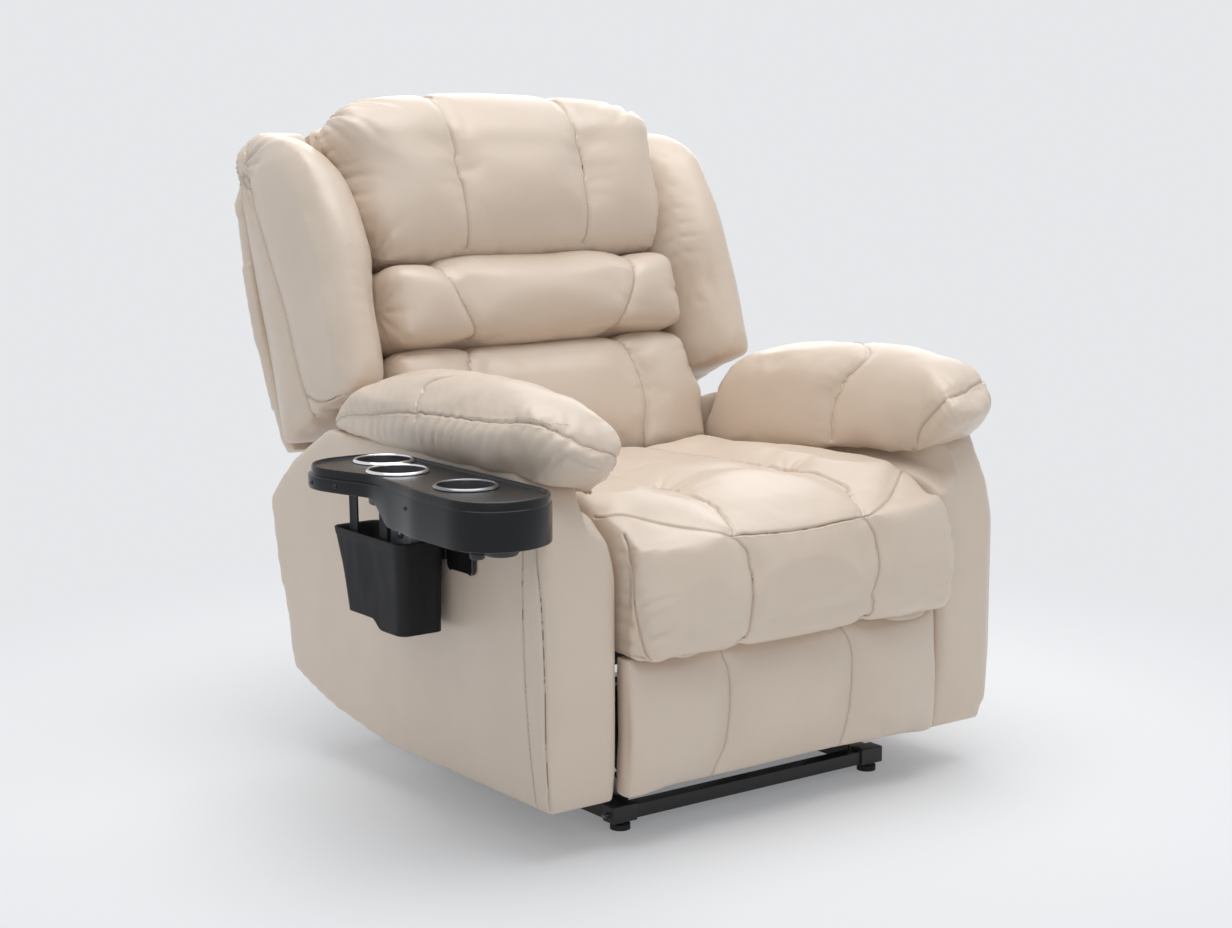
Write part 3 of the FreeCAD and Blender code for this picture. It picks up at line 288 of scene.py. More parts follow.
cover, tree, place = new_material("cream_leatherette")
pebble = add(tree, "ShaderNodeGroup", {"Place": place, "Cells per metre": 820.0, "Softness": 0.75},
             node_tree=grain).outputs
tone = add(tree, "ShaderNodeMapRange", {"Value": pebble["Mottle"], "From Min": 0.35, "From Max": 0.7})
seam = add(tree, "ShaderNodeAttribute", attribute_name="seam", attribute_type="GEOMETRY")
# Painted shade: near each seam line the cover turns towards the seam-shade colour.
seam_shade = add(tree, "ShaderNodeMath", {0: seam.outputs["Fac"], 1: 0.7}, operation="MULTIPLY")
base = tinted(tree, seam_shade, tinted(tree, tone, COVER, COVER_WARM), COVER_SEAM_SHADE)
gloss = add(tree, "ShaderNodeMapRange", {"Value": pebble["Mottle"], "From Min": 0.3, "From Max": 0.7,
                                         "To Min": 0.36, "To Max": 0.46})
surface(tree, base, gloss, pebble["Height"], 0.14, 0.0006,
        {"Specular IOR Level": 0.5, "Coat Weight": 0.38, "Coat Roughness": 0.32})

thread, tree, place = new_material("cream_thread")
twist = add(tree, "ShaderNodeTexWave", {"Vector": place, "Scale": 900.0, "Distortion": 2.0}).outputs["Fac"]
surface(tree, tinted(tree, twist, (0.60, 0.49, 0.38), (0.72, 0.61, 0.49)), 0.7, twist, 0.3, 0.0002)
print("cover and thread ready")

# %% [markdown]
# ## Plastics, metals and pocket cloth
#
# Most hard finishes differ only in a few numbers: colour, gloss, metal or not, grain size and
# how much wear they show. One function builds them from those numbers, each with its own
# pebble or scratches. The woven cloth of the pocket is made below it.


# %% Hard finishes
def finish_of(name, colour, second, rough, metal=0.0, pebbles=None, depth=0.0002, scratches=0.2, specular=0.5,
              coat=0.0):
    """A moulded, painted or metal finish with grain, patchy gloss and fine scratches."""
    material, tree, place = new_material(name)
    worn = add(tree, "ShaderNodeGroup", {"Place": place, "Patch size": 11.0, "Scratches": scratches},
               node_tree=wear).outputs
    patchy = add(tree, "ShaderNodeMapRange", {"Value": worn["Mask"], "From Min": 0.3, "From Max": 0.7,
                                              "To Min": rough * 0.85, "To Max": rough * 1.15})
    height = worn["Height"]
    if pebbles:
        height = add(tree, "ShaderNodeGroup", {"Place": place, "Cells per metre": pebbles}, node_tree=grain)
    surface(tree, tinted(tree, worn["Mask"], colour, second), patchy, height, 0.25, depth,
            {"Metallic": metal, "Specular IOR Level": specular, "Coat Weight": coat, "Coat Roughness": 0.08})
    return material


tray_plastic = finish_of("charcoal_tray_plastic", (0.0058, 0.0064, 0.0080), (0.0090, 0.0097, 0.0118), 0.23,
                         pebbles=1400.0, specular=0.26)
black_plastic = finish_of("black_plastic", (0.016, 0.016, 0.018), (0.028, 0.028, 0.031), 0.42, pebbles=1200.0)
panel_gloss = finish_of("glossy_black_panel", (0.006, 0.006, 0.007), (0.010, 0.010, 0.011), 0.12, coat=0.6,
                        depth=0.00005)
chrome = finish_of("polished_chrome", (0.86, 0.86, 0.87), (0.78, 0.78, 0.80), 0.09, metal=1.0, depth=0.00004)
satin_ring = finish_of("satin_dark_ring", (0.30, 0.30, 0.31), (0.24, 0.24, 0.25), 0.24, metal=1.0,
                       depth=0.00004)
black_steel = finish_of("black_painted_steel", (0.012, 0.012, 0.013), (0.022, 0.022, 0.024), 0.38,
                        pebbles=700.0, depth=0.0003)
link_steel = finish_of("grey_zinc_plate", (0.20, 0.20, 0.21), (0.27, 0.27, 0.28), 0.34, metal=1.0,
                       scratches=0.6)
rod_steel = finish_of("ground_rod_steel", (0.62, 0.62, 0.64), (0.54, 0.54, 0.56), 0.20, metal=1.0,
                      scratches=0.8)
rubber = finish_of("foot_rubber", (0.012, 0.012, 0.012), (0.020, 0.020, 0.020), 0.75, pebbles=900.0,
                   depth=0.0004)
grey_plastic = finish_of("grey_handset_plastic", (0.27, 0.28, 0.31), (0.33, 0.34, 0.37), 0.26, pebbles=1500.0,
                         coat=0.3)
key_plastic = finish_of("dark_key_plastic", (0.055, 0.056, 0.060), (0.075, 0.076, 0.080), 0.4, pebbles=1500.0)
pale_ink = finish_of("pale_marking", (0.62, 0.63, 0.66), (0.52, 0.53, 0.56), 0.5)

pocket_cloth, tree, place = new_material("black_pocket_cloth")
woven = add(tree, "ShaderNodeGroup", {"Place": place, "Threads per metre": 5200.0}, node_tree=weave).outputs
cloth_tint = tinted(tree, woven["Shade"], (0.006, 0.006, 0.007), (0.014, 0.014, 0.015))
surface(tree, cloth_tint, 0.58, woven["Height"], 0.35, 0.0004, {"Specular IOR Level": 0.28})
print("finishes:", len(bpy.data.materials))

# %% [markdown]
# ## Tools for soft pieces
#
# A cushion is made in the order in which an upholsterer makes it. The plain solid from CAD gives
# the foam. It is remeshed into even squares, taken in a little, and inflated with cloth
# simulation while the seam lines are held back, so that the fabric swells between them. Then the
# seams are sewn: the mesh is cut finer along each line and pressed into a narrow groove.

# %% Mesh helpers
MERGE_DISTANCE = 2e-5
TINY = 1e-12


def get_points(piece):
    """Vertex positions as an array."""
    points = np.empty(len(piece.data.vertices) * 3, dtype=np.float64)
    piece.data.vertices.foreach_get("co", points)
    return points.reshape(-1, 3)


def set_points(piece, points):
    piece.data.vertices.foreach_set("co", np.ascontiguousarray(points, dtype=np.float32).ravel())
    piece.data.update()


def get_normals(piece):
    normals = np.empty(len(piece.data.vertices) * 3, dtype=np.float64)
    piece.data.vertex_normals.foreach_get("vector", normals)
    return normals.reshape(-1, 3)


def reshape(piece, shape, *numbers):
    """Send all vertices through a function of their positions."""
    set_points(piece, shape(get_points(piece), *numbers))


def sink(piece, index, amount):
    """Move some vertices inwards along their normals."""
    points = get_points(piece)
    points[index] -= get_normals(piece)[index] * amount[:, None]
    set_points(piece, points)


def editing(mesh, merge=False):
    """A mesh opened for editing; shells from CAD are merged into one."""
    shell = bmesh.new()
    shell.from_mesh(mesh)
    if merge:
        bmesh.ops.remove_doubles(shell, verts=shell.verts, dist=MERGE_DISTANCE)
    return shell


def close_into(shell, mesh):
    shell.to_mesh(mesh)
    shell.free()


def new_piece(name, shell, material=None, outward=True):
    """Turn an editing mesh into an object, with its faces pointing out."""
    if outward:
        bmesh.ops.recalc_face_normals(shell, faces=shell.faces)
    mesh = bpy.data.meshes.new(name)
    close_into(shell, mesh)
    if material:
        mesh.materials.append(material)
    return new_object(name, mesh)


def settle(piece):
    """Turn the live modifiers into a plain mesh."""
    graph = bpy.context.evaluated_depsgraph_get()
    mesh = bpy.data.meshes.new_from_object(piece.evaluated_get(graph))
    old = piece.data
    piece.modifiers.clear()
    piece.data = mesh
    mesh.name = piece.name
    if old.users == 0:
        bpy.data.meshes.remove(old)
    return piece


def remeshed(piece, voxel, passes=6):
    """Even squares all over, then a few smoothing passes that round the edges."""
    squares = piece.modifiers.new("squares", "REMESH")
    squares.mode = "VOXEL"
    squares.voxel_size = voxel
    squares.adaptivity = 0
    soften = piece.modifiers.new("soften", "SMOOTH")
    soften.factor = 0.5
    soften.iterations = passes
    return settle(piece)


def subdivided(piece):
    finer = piece.modifiers.new("finer", "SUBSURF")
    finer.levels = finer.render_levels = 1
    return settle(piece)


def shade_smooth(piece):
    piece.data.polygons.foreach_set("use_smooth", [True] * len(piece.data.polygons))
    piece.data.update()


def skin(shell, rings, capped=False):
    """Faces between rings of points, with flat caps if wanted. Returns the rings of vertices."""
    made = [[shell.verts.new(point) for point in ring] for ring in rings]
    for low, high in zip(made, made[1:]):
        bridge(shell, low, high)
    if capped:
        shell.faces.new(made[0])
        shell.faces.new(made[-1])
    return made


def bridge(shell, low, high):
    """One band of faces between two closed rings of vertices."""
    for i in range(len(low)):
        j = (i + 1) % len(low)
        shell.faces.new((low[i], low[j], high[j], high[i]))


print("mesh helpers ready")

# %% [markdown]
# ### Lines on a surface
#
# A seam is given by a few points. They are joined by a smooth curve, which is then dropped onto
# the nearest place on the cushion, point by point. Each point keeps the surface's normal and its
# own distance along the line, so that grooves, gathers and stitches can all follow it.

# %% Seam lines
LINE_STEP = 0.002
STEPS_PER_SPAN = 24


def smooth_line(points):
    """A Catmull-Rom curve through the points, sampled evenly."""
    knots = [Vector(p) for p in points]
    knots = [2 * knots[0] - knots[1]] + knots + [2 * knots[-1] - knots[-2]]
    fine = []
    for a, b, c, d in zip(knots, knots[1:], knots[2:], knots[3:]):
        for step in range(STEPS_PER_SPAN):
            t = step / STEPS_PER_SPAN
            fine.append(0.5 * ((2 * b) + (c - a) * t + (2 * a - 5 * b + 4 * c - d) * t * t
                               + (3 * b - a - 3 * c + d) * t ** 3))
    fine.append(knots[-2])
    even = [fine[0]]
    left = LINE_STEP
    for first, second in zip(fine, fine[1:]):
        gap = (second - first).length
        while gap > 1e-9 and left <= gap:
            first = first.lerp(second, left / gap)
            gap = (second - first).length
            even.append(first)
            left = LINE_STEP
        left -= gap
    return even


def surface_of(piece):
    """The piece's surface, ready for finding the nearest place on it."""
    shell = editing(piece.data)
    found = BVHTree.FromBMesh(shell)
    shell.free()
    return found


def drop_line(tree, points):
    """The line on the surface: positions, normals and the length so far at each point."""
    places, normals = [], []
    for point in smooth_line(points):
        hit = tree.find_nearest(point)
        places.append(hit[0])
        normals.append(hit[1])
    for _ in range(3):
        places[1:-1] = [(a + b * 2 + c) / 4 for a, b, c in zip(places, places[1:], places[2:])]
        normals[1:-1] = [(a + b + c).normalized() for a, b, c in zip(normals, normals[1:], normals[2:])]
    lengths = [0.0]
    for a, b in zip(places, places[1:]):
        lengths.append(lengths[-1] + (b - a).length)
    return np.array(places), np.array(normals), np.array(lengths)


def tangents_of(places):
    tangents = np.gradient(places, axis=0)
    return tangents / (np.linalg.norm(tangents, axis=1)[:, None] + TINY)


def measure(points, line, reach, vectors=False):
    """For each vertex near a line: its index, distance, place along the line and which side it is on."""
    places, normals, lengths = line
    near = np.nonzero(((points > places.min(0) - reach) & (points < places.max(0) + reach)).all(1))[0]
    tangents = tangents_of(places)
    chunk = points[near]
    squares = (chunk ** 2).sum(1)[:, None] + (places ** 2).sum(1)[None] - 2 * chunk @ places.T
    nearest = squares.argmin(1)
    offset = chunk - places[nearest]
    forward = (offset * tangents[nearest]).sum(1)
    inside = (nearest > 0) & (nearest < len(places) - 1)
    across = offset - tangents[nearest] * (forward * inside)[:, None]
    distance = np.linalg.norm(across, axis=1)
    right = np.cross(tangents[nearest], normals[nearest])
    side = np.where((right * offset).sum(1) > 0, 1.0, -1.0)
    along = lengths[nearest] + forward
    kept = distance < reach
    if vectors:
        return near[kept], across[kept]
    return near[kept], distance[kept], along[kept], side[kept]


def bell(distance, width):
    """1 at a line, falling off to nothing at about twice the width."""
    return np.exp(-(distance / width) ** 2)


def ease(values, start, stop):
    """From 0 to 1 between two values, without a kink at either end."""
    share = np.clip((np.asarray(values, dtype=float) - start) / (stop - start), 0, 1)
    return share * share * (3 - 2 * share)


print("seam helpers ready")

# %% [markdown]
# ### Inflating, sewing and gathering
#
# The cloth solver swells the cover against nothing but its own weave, so each point may move
# only a set distance from where the foam is. Seam lines are pinned. After that, sewing presses
# a narrow groove along each line, and gathering adds the small folds that bunch up where a long
# panel is sewn to a shorter one.

# %% Inflate
PIN_WIDTH, PIN_GAIN = 0.007, 1.35
STIFFNESS = 12.0
MOST_SHRINK = 0.001
OWN_SHARE = 0.35
VALLEY_WIDTH = 0.012


def averaged(mesh, vectors, passes=14):
    """Vectors on the vertices, each evened out with its neighbours' again and again."""
    pairs = np.empty(len(mesh.edges) * 2, dtype=np.int32)
    mesh.edges.foreach_get("vertices", pairs)
    first, second = pairs.reshape(-1, 2).T
    count = np.bincount(pairs, minlength=len(vectors))
    for _ in range(passes):
        sums = [np.bincount(first, vectors[second, axis], len(vectors))
                + np.bincount(second, vectors[first, axis], len(vectors)) for axis in range(3)]
        vectors = 0.5 * vectors + 0.5 * np.stack(sums, 1) / count[:, None]
    return vectors


def calmed(piece, passes, share):
    """Smooth a piece by the given share of each of its points."""
    points = get_points(piece)
    set_points(piece, points + (averaged(piece.data, points, passes) - points) * share[:, None])


def levelled(values, limit, soft):
    """Values that fall below a limit level off softly at it."""
    return limit + soft * np.logaddexp(0, (values - limit) / soft)


def swollen_points(piece, hold, pressure, frames, slack):
    """Run the cloth solver with pressure inside and the held points pinned."""
    pins = piece.vertex_groups.new(name="held")
    for index in np.nonzero(hold > 0.05)[0]:
        pins.add([int(index)], float(hold[index]), "REPLACE")
    cloth = piece.modifiers.new("cover", "CLOTH")
    for field, value in {"quality": 4, "mass": 0.3, "air_damping": 4, "tension_stiffness": STIFFNESS,
                         "compression_stiffness": STIFFNESS, "shear_stiffness": 5, "bending_stiffness": 0.4,
                         "use_pressure": True, "uniform_pressure_force": pressure, "shrink_min": -slack,
                         "vertex_group_mass": "held"}.items():
        setattr(cloth.settings, field, value)
    cloth.settings.effector_weights.gravity = 0
    cloth.collision_settings.use_collision = False
    cloth.point_cache.frame_start = 1
    cloth.point_cache.frame_end = frames
    for moment in range(1, frames + 1):
        scene.frame_set(moment)
    graph = bpy.context.evaluated_depsgraph_get()
    swollen = get_points(piece.evaluated_get(graph))
    piece.modifiers.clear()
    piece.vertex_groups.clear()
    scene.frame_set(1)
    return swollen


def inflate(piece, plan, pressure=4.0, frames=14, limit=0.012, slack=0.03, take_in=0.004,
            valley_depth=0.005):
    """Swell a cover by cloth simulation, with its seam lines held back in shallow valleys."""
    lines = lines_on(piece, plan)
    points = get_points(piece)
    normals = get_normals(piece)
    points -= normals * take_in
    hold = np.zeros(len(points))
    for line in lines:
        index, distance, _, _ = measure(points, line, VALLEY_WIDTH * 2.2)
        points[index] -= normals[index] * (bell(distance, VALLEY_WIDTH) * valley_depth)[:, None]
        hold[index] = np.maximum(hold[index], np.clip(PIN_GAIN * bell(distance, PIN_WIDTH), 0, 1))
    set_points(piece, points)
    travel = swollen_points(piece, hold, pressure, frames, slack) - points
    outward = (travel * normals).sum(1)
    travel += normals * (np.maximum(outward, -MOST_SHRINK) - outward)[:, None]
    length = np.linalg.norm(travel, axis=1)
    travel *= (np.minimum(length, limit) / (length + TINY))[:, None]
    calm = averaged(piece.data, travel) * (1 - 0.8 * hold)[:, None]
    set_points(piece, points + OWN_SHARE * travel + (1 - OWN_SHARE) * calm)


def box_in(piece, low, high):
    """Press a piece gently back into a box, so that it stays clear of its neighbours."""
    set_points(piece, np.clip(get_points(piece), np.array(low), np.array(high)))


print("cloth helpers ready")

# %% Sew and gather
FINE_REACH = 0.0062
SEAM_WIDTH, SEAM_LIP = 0.0017, 0.0006
LIP_PLACE, LIP_WIDTH = 0.0052, 0.0026
PULL_REACH = 0.00085


def cut_finer(piece, lines):
    """Divide the mesh along the lines, so that a narrow groove has something to bend."""
    shell = editing(piece.data)
    points = np.array([vert.co for vert in shell.verts])
    near = np.zeros(len(points), dtype=bool)
    for line in lines:
        near[measure(points, line, FINE_REACH)[0]] = True
    shell.verts.ensure_lookup_table()
    edges = [edge for edge in shell.edges if near[edge.verts[0].index] and near[edge.verts[1].index]]
    bmesh.ops.subdivide_edges(shell, edges=edges, cuts=2, use_grid_fill=True)
    close_into(shell, piece.data)


def sew(piece, lines, depth):
    """Draw the nearest points onto each line, press the grooves and note them in the seam attribute."""
    points = get_points(piece)
    normals = get_normals(piece)
    for line in lines:
        index, across = measure(points, line, PULL_REACH, vectors=True)
        points[index] -= across
    marks = np.zeros(len(points))
    shift = np.zeros(len(points))
    for line in lines:
        index, distance, _, _ = measure(points, line, 0.014)
        groove = bell(distance, SEAM_WIDTH)
        roll = bell(distance - LIP_PLACE, LIP_WIDTH)
        shift[index] = np.minimum(shift[index], -depth * groove)
        shift[index] += SEAM_LIP * roll * (groove < 0.4)
        # The seam attribute: nearness to the line, which the cover material turns into painted shade.
        marks[index] = np.maximum(marks[index], bell(distance, SEAM_WIDTH * 0.75))
    set_points(piece, points + normals * shift[:, None])
    note_seam(piece.data, marks)


def note_seam(mesh, marks):
    layer = mesh.attributes.get("seam") or mesh.attributes.new("seam", "FLOAT", "POINT")
    values = np.empty(len(mesh.vertices), dtype=np.float32)
    layer.data.foreach_get("value", values)
    layer.data.foreach_set("value", np.maximum(values, marks).astype(np.float32))


def chance(number, salt):
    """A repeatable value from 0 to 1 for each whole number."""
    return np.modf(np.abs(np.sin(number * 12.9898 + salt * 78.233)) * 43758.5453)[0]


def gather(piece, line, pitch, depth, reach, side=0, salt=1, stop=1.0, skew=0.25):
    """Small folds that run away from a seam and die out, each with its own length and depth."""
    index, distance, along, which = measure(get_points(piece), line, reach * 1.4)
    if side:
        keep = which == side
        index, distance, along = index[keep], distance[keep], along[keep]
    total = line[2][-1]
    wander = np.array([noise.noise(Vector((a * 9.0, salt * 3.7, 0.0))) for a in along])
    phase = (along + skew * distance) / pitch + wander * 1.3
    fold = np.floor(phase + 0.5)
    offset = phase - fold
    own_depth = 0.35 + 0.65 * chance(fold, salt)
    own_reach = reach * (0.45 + 0.9 * chance(fold, salt + 5))
    fade_out = np.clip(1 - distance / own_reach, 0, 1) ** 1.3 * (0.12 + 0.88 * ease(distance, 0.002, 0.014))
    ends = np.clip(along / total / 0.06, 0, 1) * np.clip((stop - along / total) / 0.06, 0, 1)
    crease = bell(offset, 0.16) - 0.45 * bell(np.abs(offset) - 0.36, 0.16)
    sink(piece, index, depth * own_depth * fade_out * ends * crease)


def star(piece, centre, reach, folds, depth, salt, dimple=0.0):
    """Folds that fan out from one point, as at a gathered corner or a button."""
    points = get_points(piece)
    normals = get_normals(piece)
    centre = np.array(surface_of(piece).find_nearest(centre)[0])
    away_from = points - centre
    distance = np.linalg.norm(away_from, axis=1)
    index = np.nonzero(distance < reach)[0]
    middle = normals[index][distance[index].argmin()]
    one = np.cross(middle, (0.31, 0.17, 0.93))
    one /= np.linalg.norm(one)
    two = np.cross(middle, one)
    angle = np.arctan2(away_from[index] @ two, away_from[index] @ one)
    phase = angle / (2 * np.pi) * folds
    fold = np.floor(phase + 0.5)
    offset = phase - fold
    distance = distance[index]
    own = 0.3 + 0.7 * chance(np.mod(fold, folds), salt)
    near = np.clip(1 - distance / (reach * (0.5 + 0.5 * own)), 0, 1)
    rise = np.clip(distance / (reach * 0.18), 0, 1)
    crease = bell(offset, 0.17) - 0.4 * bell(np.abs(offset) - 0.36, 0.15)
    sink(piece, index, depth * own * near * rise * crease + dimple * bell(distance, reach * 0.35))


def ripple(piece, amount, size, stretch=(1, 1, 1), salt=0.0):
    """The slight unevenness of hand-filled padding."""
    scaled = get_points(piece) * np.array(stretch) / size + salt
    swell = np.array([noise.noise(Vector(p)) for p in scaled])
    sink(piece, slice(None), -amount * swell)


print("sewing helpers ready")

# %% [markdown]
# ### Stitches
#
# Topstitching is one short thread after another along a line, a few millimetres beside the seam.
# A Geometry Nodes tree does it: the line is cut into equal steps, and each step gets a small
# rounded thread, laid along the line and flat on the cover.

# %% Stitch tree
GEOMETRY, MATERIAL = "NodeSocketGeometry", "NodeSocketMaterial"
THREAD_LIFT = 0.0001


def scatter_group(name, inputs):
    """A Geometry Nodes tree with named inputs, and a rotation from the up attribute."""
    tree, start, end = node_group(name, "GeometryNodeTree", [("Geometry", GEOMETRY, None)] + inputs,
                                  [("Geometry", GEOMETRY)])
    up = add(tree, "GeometryNodeInputNamedAttribute", {"Name": "up"}, data_type="FLOAT_VECTOR")
    turn = add(tree, "FunctionNodeAlignRotationToVector", {"Vector": up.outputs["Attribute"]}, axis="Z")
    return tree, start.outputs, end, turn


def scattered(tree, end, points, instance, rotation, scale, material):
    """Copies on points, made real and given their material."""
    laid = add(tree, "GeometryNodeInstanceOnPoints", {"Points": points, "Instance": instance,
                                                      "Rotation": rotation, "Scale": scale})
    real = add(tree, "GeometryNodeRealizeInstances", {0: laid})
    done = add(tree, "GeometryNodeSetMaterial", {"Geometry": real, "Material": material})
    tree.links.new(done.outputs[0], end.inputs[0])


stitch_tree, given, end, upright_turn = scatter_group(
    "stitch_run", [("Pitch", FLOAT, 0.0046), ("Length", FLOAT, 0.0033), ("Thickness", FLOAT, 0.00095),
                   ("Material", MATERIAL, None)])
curve = add(stitch_tree, "GeometryNodeMeshToCurve", {0: given["Geometry"]})
steps = add(stitch_tree, "GeometryNodeResampleCurve", {"Curve": curve, "Length": given["Pitch"]},
            mode="LENGTH")
heading = add(stitch_tree, "GeometryNodeInputTangent")
turn = add(stitch_tree, "FunctionNodeAlignRotationToVector", {"Rotation": upright_turn, "Vector": heading},
           axis="X", pivot_axis="Z")
bead = add(stitch_tree, "GeometryNodeMeshUVSphere", {"Segments": 6, "Rings": 4, "Radius": 0.5})
size = add(stitch_tree, "ShaderNodeCombineXYZ", {"X": given["Length"], "Y": given["Thickness"],
                                                 "Z": given["Thickness"]})
scattered(stitch_tree, end, steps, bead, turn, size, given["Material"])

stitch_lines = {}


def topstitch(body, tree, line, offset):
    """Note a stitch line beside a seam: it is made into thread once all cushions are done."""
    places, normals, _ = line
    beside = places + np.cross(tangents_of(places), normals) * offset
    points, ups = [], []
    for point in beside:
        hit = tree.find_nearest(Vector(point))
        points.append(np.array(hit[0]) + np.array(hit[1]) * THREAD_LIFT)
        ups.append(np.array(hit[1]))
    ups = np.array(ups)
    ups[1:-1] = (ups[:-2] + ups[1:-1] + ups[2:])
    ups /= np.linalg.norm(ups, axis=1)[:, None]
    stitch_lines.setdefault(body, []).append((np.array(points), ups))


def stitch_twin(body, count):
    """Repeat the last stitch lines of a body on the other side of the chair."""
    for points, ups in stitch_lines[body][-count:]:
        stitch_lines[body].append((points * (-1, 1, 1), ups * (-1, 1, 1)))


def marked_mesh(name, points, edges, ups):
    """Bare points and edges with an up attribute, for a Geometry Nodes tree to work on."""
    mesh = bpy.data.meshes.new(name)
    mesh.from_pydata(points, edges, [])
    layer = mesh.attributes.new("up", "FLOAT_VECTOR", "POINT")
    layer.data.foreach_set("vector", np.array(ups, dtype=np.float32).ravel())
    return new_object(name, mesh)


def line_mesh(name, runs):
    """One run of edges after another."""
    edges = []
    first = 0
    for points, _ in runs:
        edges += [(first + i, first + i + 1) for i in range(len(points) - 1)]
        first += len(points)
    return marked_mesh(name, np.concatenate([points for points, _ in runs]).tolist(), edges,
                       np.concatenate([ups for _, ups in runs]))


def grown(piece, tree, values):
    """Run a Geometry Nodes tree on a piece, its inputs given by name, and keep a plain mesh."""
    modifier = piece.modifiers.new("nodes", "NODES")
    modifier.node_group = tree
    for socket in tree.interface.items_tree:
        if socket.in_out == "INPUT" and socket.name in values:
            modifier[socket.identifier] = values[socket.name]
    return settle(piece)


print("stitch tree ready:", len(stitch_tree.nodes), "nodes")

# %% [markdown]
# ## Sewing plan
#
# Seam points were read off the photograph by shooting rays from the camera at the plain solids.
# They are given in millimetres. For the back they are in the back's own directions: across,
# forward to rear through the cushion, and up along the reclined board.

# %% Coordinates
RECLINE = math.radians(18.5)
COSINE, SINE = math.cos(RECLINE), math.sin(RECLINE)
BACK_FOOT = (0.240, 0.403)


def mm(points):
    """Points in millimetres as vectors in metres."""
    return [Vector(point) / 1000 for point in points]


def lean(points):
    """Points of the reclined back (across, rearward, upward, in millimetres) in the frame."""
    return [Vector((x / 1000, BACK_FOOT[0] + (p * COSINE + q * SINE) / 1000,
                    BACK_FOOT[1] + (q * COSINE - p * SINE) / 1000)) for x, p, q in points]


def upright(points):
    """Frame coordinates to the back's own directions: across, rearward, upward."""
    y, z = points[:, 1] - BACK_FOOT[0], points[:, 2] - BACK_FOOT[1]
    return np.stack([points[:, 0], y * COSINE - z * SINE, y * SINE + z * COSINE], 1)


def reclined(points):
    """The way back, from the back's own directions to frame coordinates."""
    p, q = points[:, 1], points[:, 2]
    return np.stack([points[:, 0], BACK_FOOT[0] + p * COSINE + q * SINE,
                     BACK_FOOT[1] + q * COSINE - p * SINE], 1)


def flipped(points):
    """The same line on the other side of the chair."""
    return [Vector((-point.x, point.y, point.z)) for point in points]


def mirrored(piece, name):
    """A mirrored copy, with its faces turned the right way out again."""
    shell = editing(piece.data)
    for vert in shell.verts:
        vert.co.x = -vert.co.x
    bmesh.ops.reverse_faces(shell, faces=shell.faces)
    return new_piece(name, shell, outward=False)


def soft_start(node, voxel, passes=6):
    """A node's solid as one closed shell of even squares: the foam of a cushion."""
    shell = editing(nodes[node].data, merge=True)
    return remeshed(new_piece(node + "_sewn", shell, outward=False), voxel, passes)


def lines_on(piece, plan):
    tree = surface_of(piece)
    return [drop_line(tree, points) for points in plan]


def sew_along(piece, plan, body, offset=0.0045, depth=0.0024):
    """Sew every line of a plan, and run topstitching beside it."""
    cut_finer(piece, lines_on(piece, plan))
    lines = lines_on(piece, plan)
    sew(piece, lines, depth)
    tree = surface_of(piece)
    for line in lines:
        topstitch(body, tree, line, offset)


def press(piece, points, width, depth):
    """A broad soft valley, where the padding is tied down inside."""
    line = lines_on(piece, [points])[0]
    index, distance, _, _ = measure(get_points(piece), line, width * 2.4)
    sink(piece, index, depth * bell(distance, width))


def finish_soft(piece, node, body):
    """Smooth shading, the cover material, and the piece's place in the chair."""
    mesh = piece.data
    mesh.materials.clear()
    mesh.materials.append(cover)
    if mesh.attributes.get("seam") is None:
        mesh.attributes.new("seam", "FLOAT", "POINT")
    shade_smooth(piece)
    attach(piece, body)
    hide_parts(node)
    low, high = get_points(piece).min(0), get_points(piece).max(0)
    was_low, was_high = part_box(node)
    grew = [round(1000 * float(max(a - b, 0)), 1) for a, b in zip((*was_low, *high), (*low, *was_high))]
    print(piece.name, len(mesh.polygons), "faces, proud of CAD by mm:", grew)


print("a point of the back:", tuple(round(v, 3) for v in lean([(0, -150, 300)])[0]))

# %% [markdown]
# ## Seat cushion
#
# The seat is a deep foam block in a sewn cover. A seam runs across it just over the front edge,
# two more run from back to front, and the front corners are boxed in with a short gusset whose
# fullness is gathered into folds. Two shallow tufts hold the filling down in the middle.

# %% Seat seams
SEAT_CROSS = mm([(-301, -322, 474), (-296, -335, 478), (-218, -378, 463), (-168, -407, 455),
                 (-119, -430, 445), (-64, -438, 440), (0, -439, 438), (61, -438, 441), (130, -431, 445),
                 (208, -400, 457), (296, -335, 478), (301, -322, 474)])
SEAT_LEFT = mm([(-119, -430, 445), (-100, -357, 478), (-98, -297, 485), (-90, -238, 488), (-92, -100, 486),
                (-95, 60, 470), (-96, 128, 440)])
SEAT_RIGHT = mm([(130, -431, 445), (154, -368, 478), (159, -318, 484), (159, -260, 487), (150, -120, 487),
                 (140, 60, 470), (136, 128, 440)])
SEAT_FRONT_LEFT = mm([(-119, -431, 444), (-104, -433, 412), (-100, -433, 372), (-106, -424, 316),
                      (-124, -412, 286)])
SEAT_FRONT_RIGHT = mm([(130, -431, 444), (144, -433, 408), (147, -431, 358), (134, -421, 308),
                       (114, -410, 286)])
SEAT_GUSSET = mm([(-298, -392, 462), (-293, -402, 400), (-287, -408, 340), (-283, -404, 288)])
seat_plan = [SEAT_CROSS, SEAT_LEFT, SEAT_RIGHT, SEAT_FRONT_LEFT, SEAT_FRONT_RIGHT, SEAT_GUSSET,
             flipped(SEAT_GUSSET)]
SEAT_TIES = mm([(-300, -212, 486), (-100, -214, 488), (150, -216, 488), (300, -212, 486)])
SEAT_TUFTS = mm([(150, -216, 488), (-100, -216, 488)])

# Height of the seat's side edges, where they meet the arm pads, from front to rear.
SHOULDER_Y = [-0.400, -0.375, -0.342, -0.269, -0.202, -0.135, 0.003, 0.128]
SHOULDER_Z = [0.452, 0.468, 0.480, 0.490, 0.488, 0.478, 0.460, 0.445]

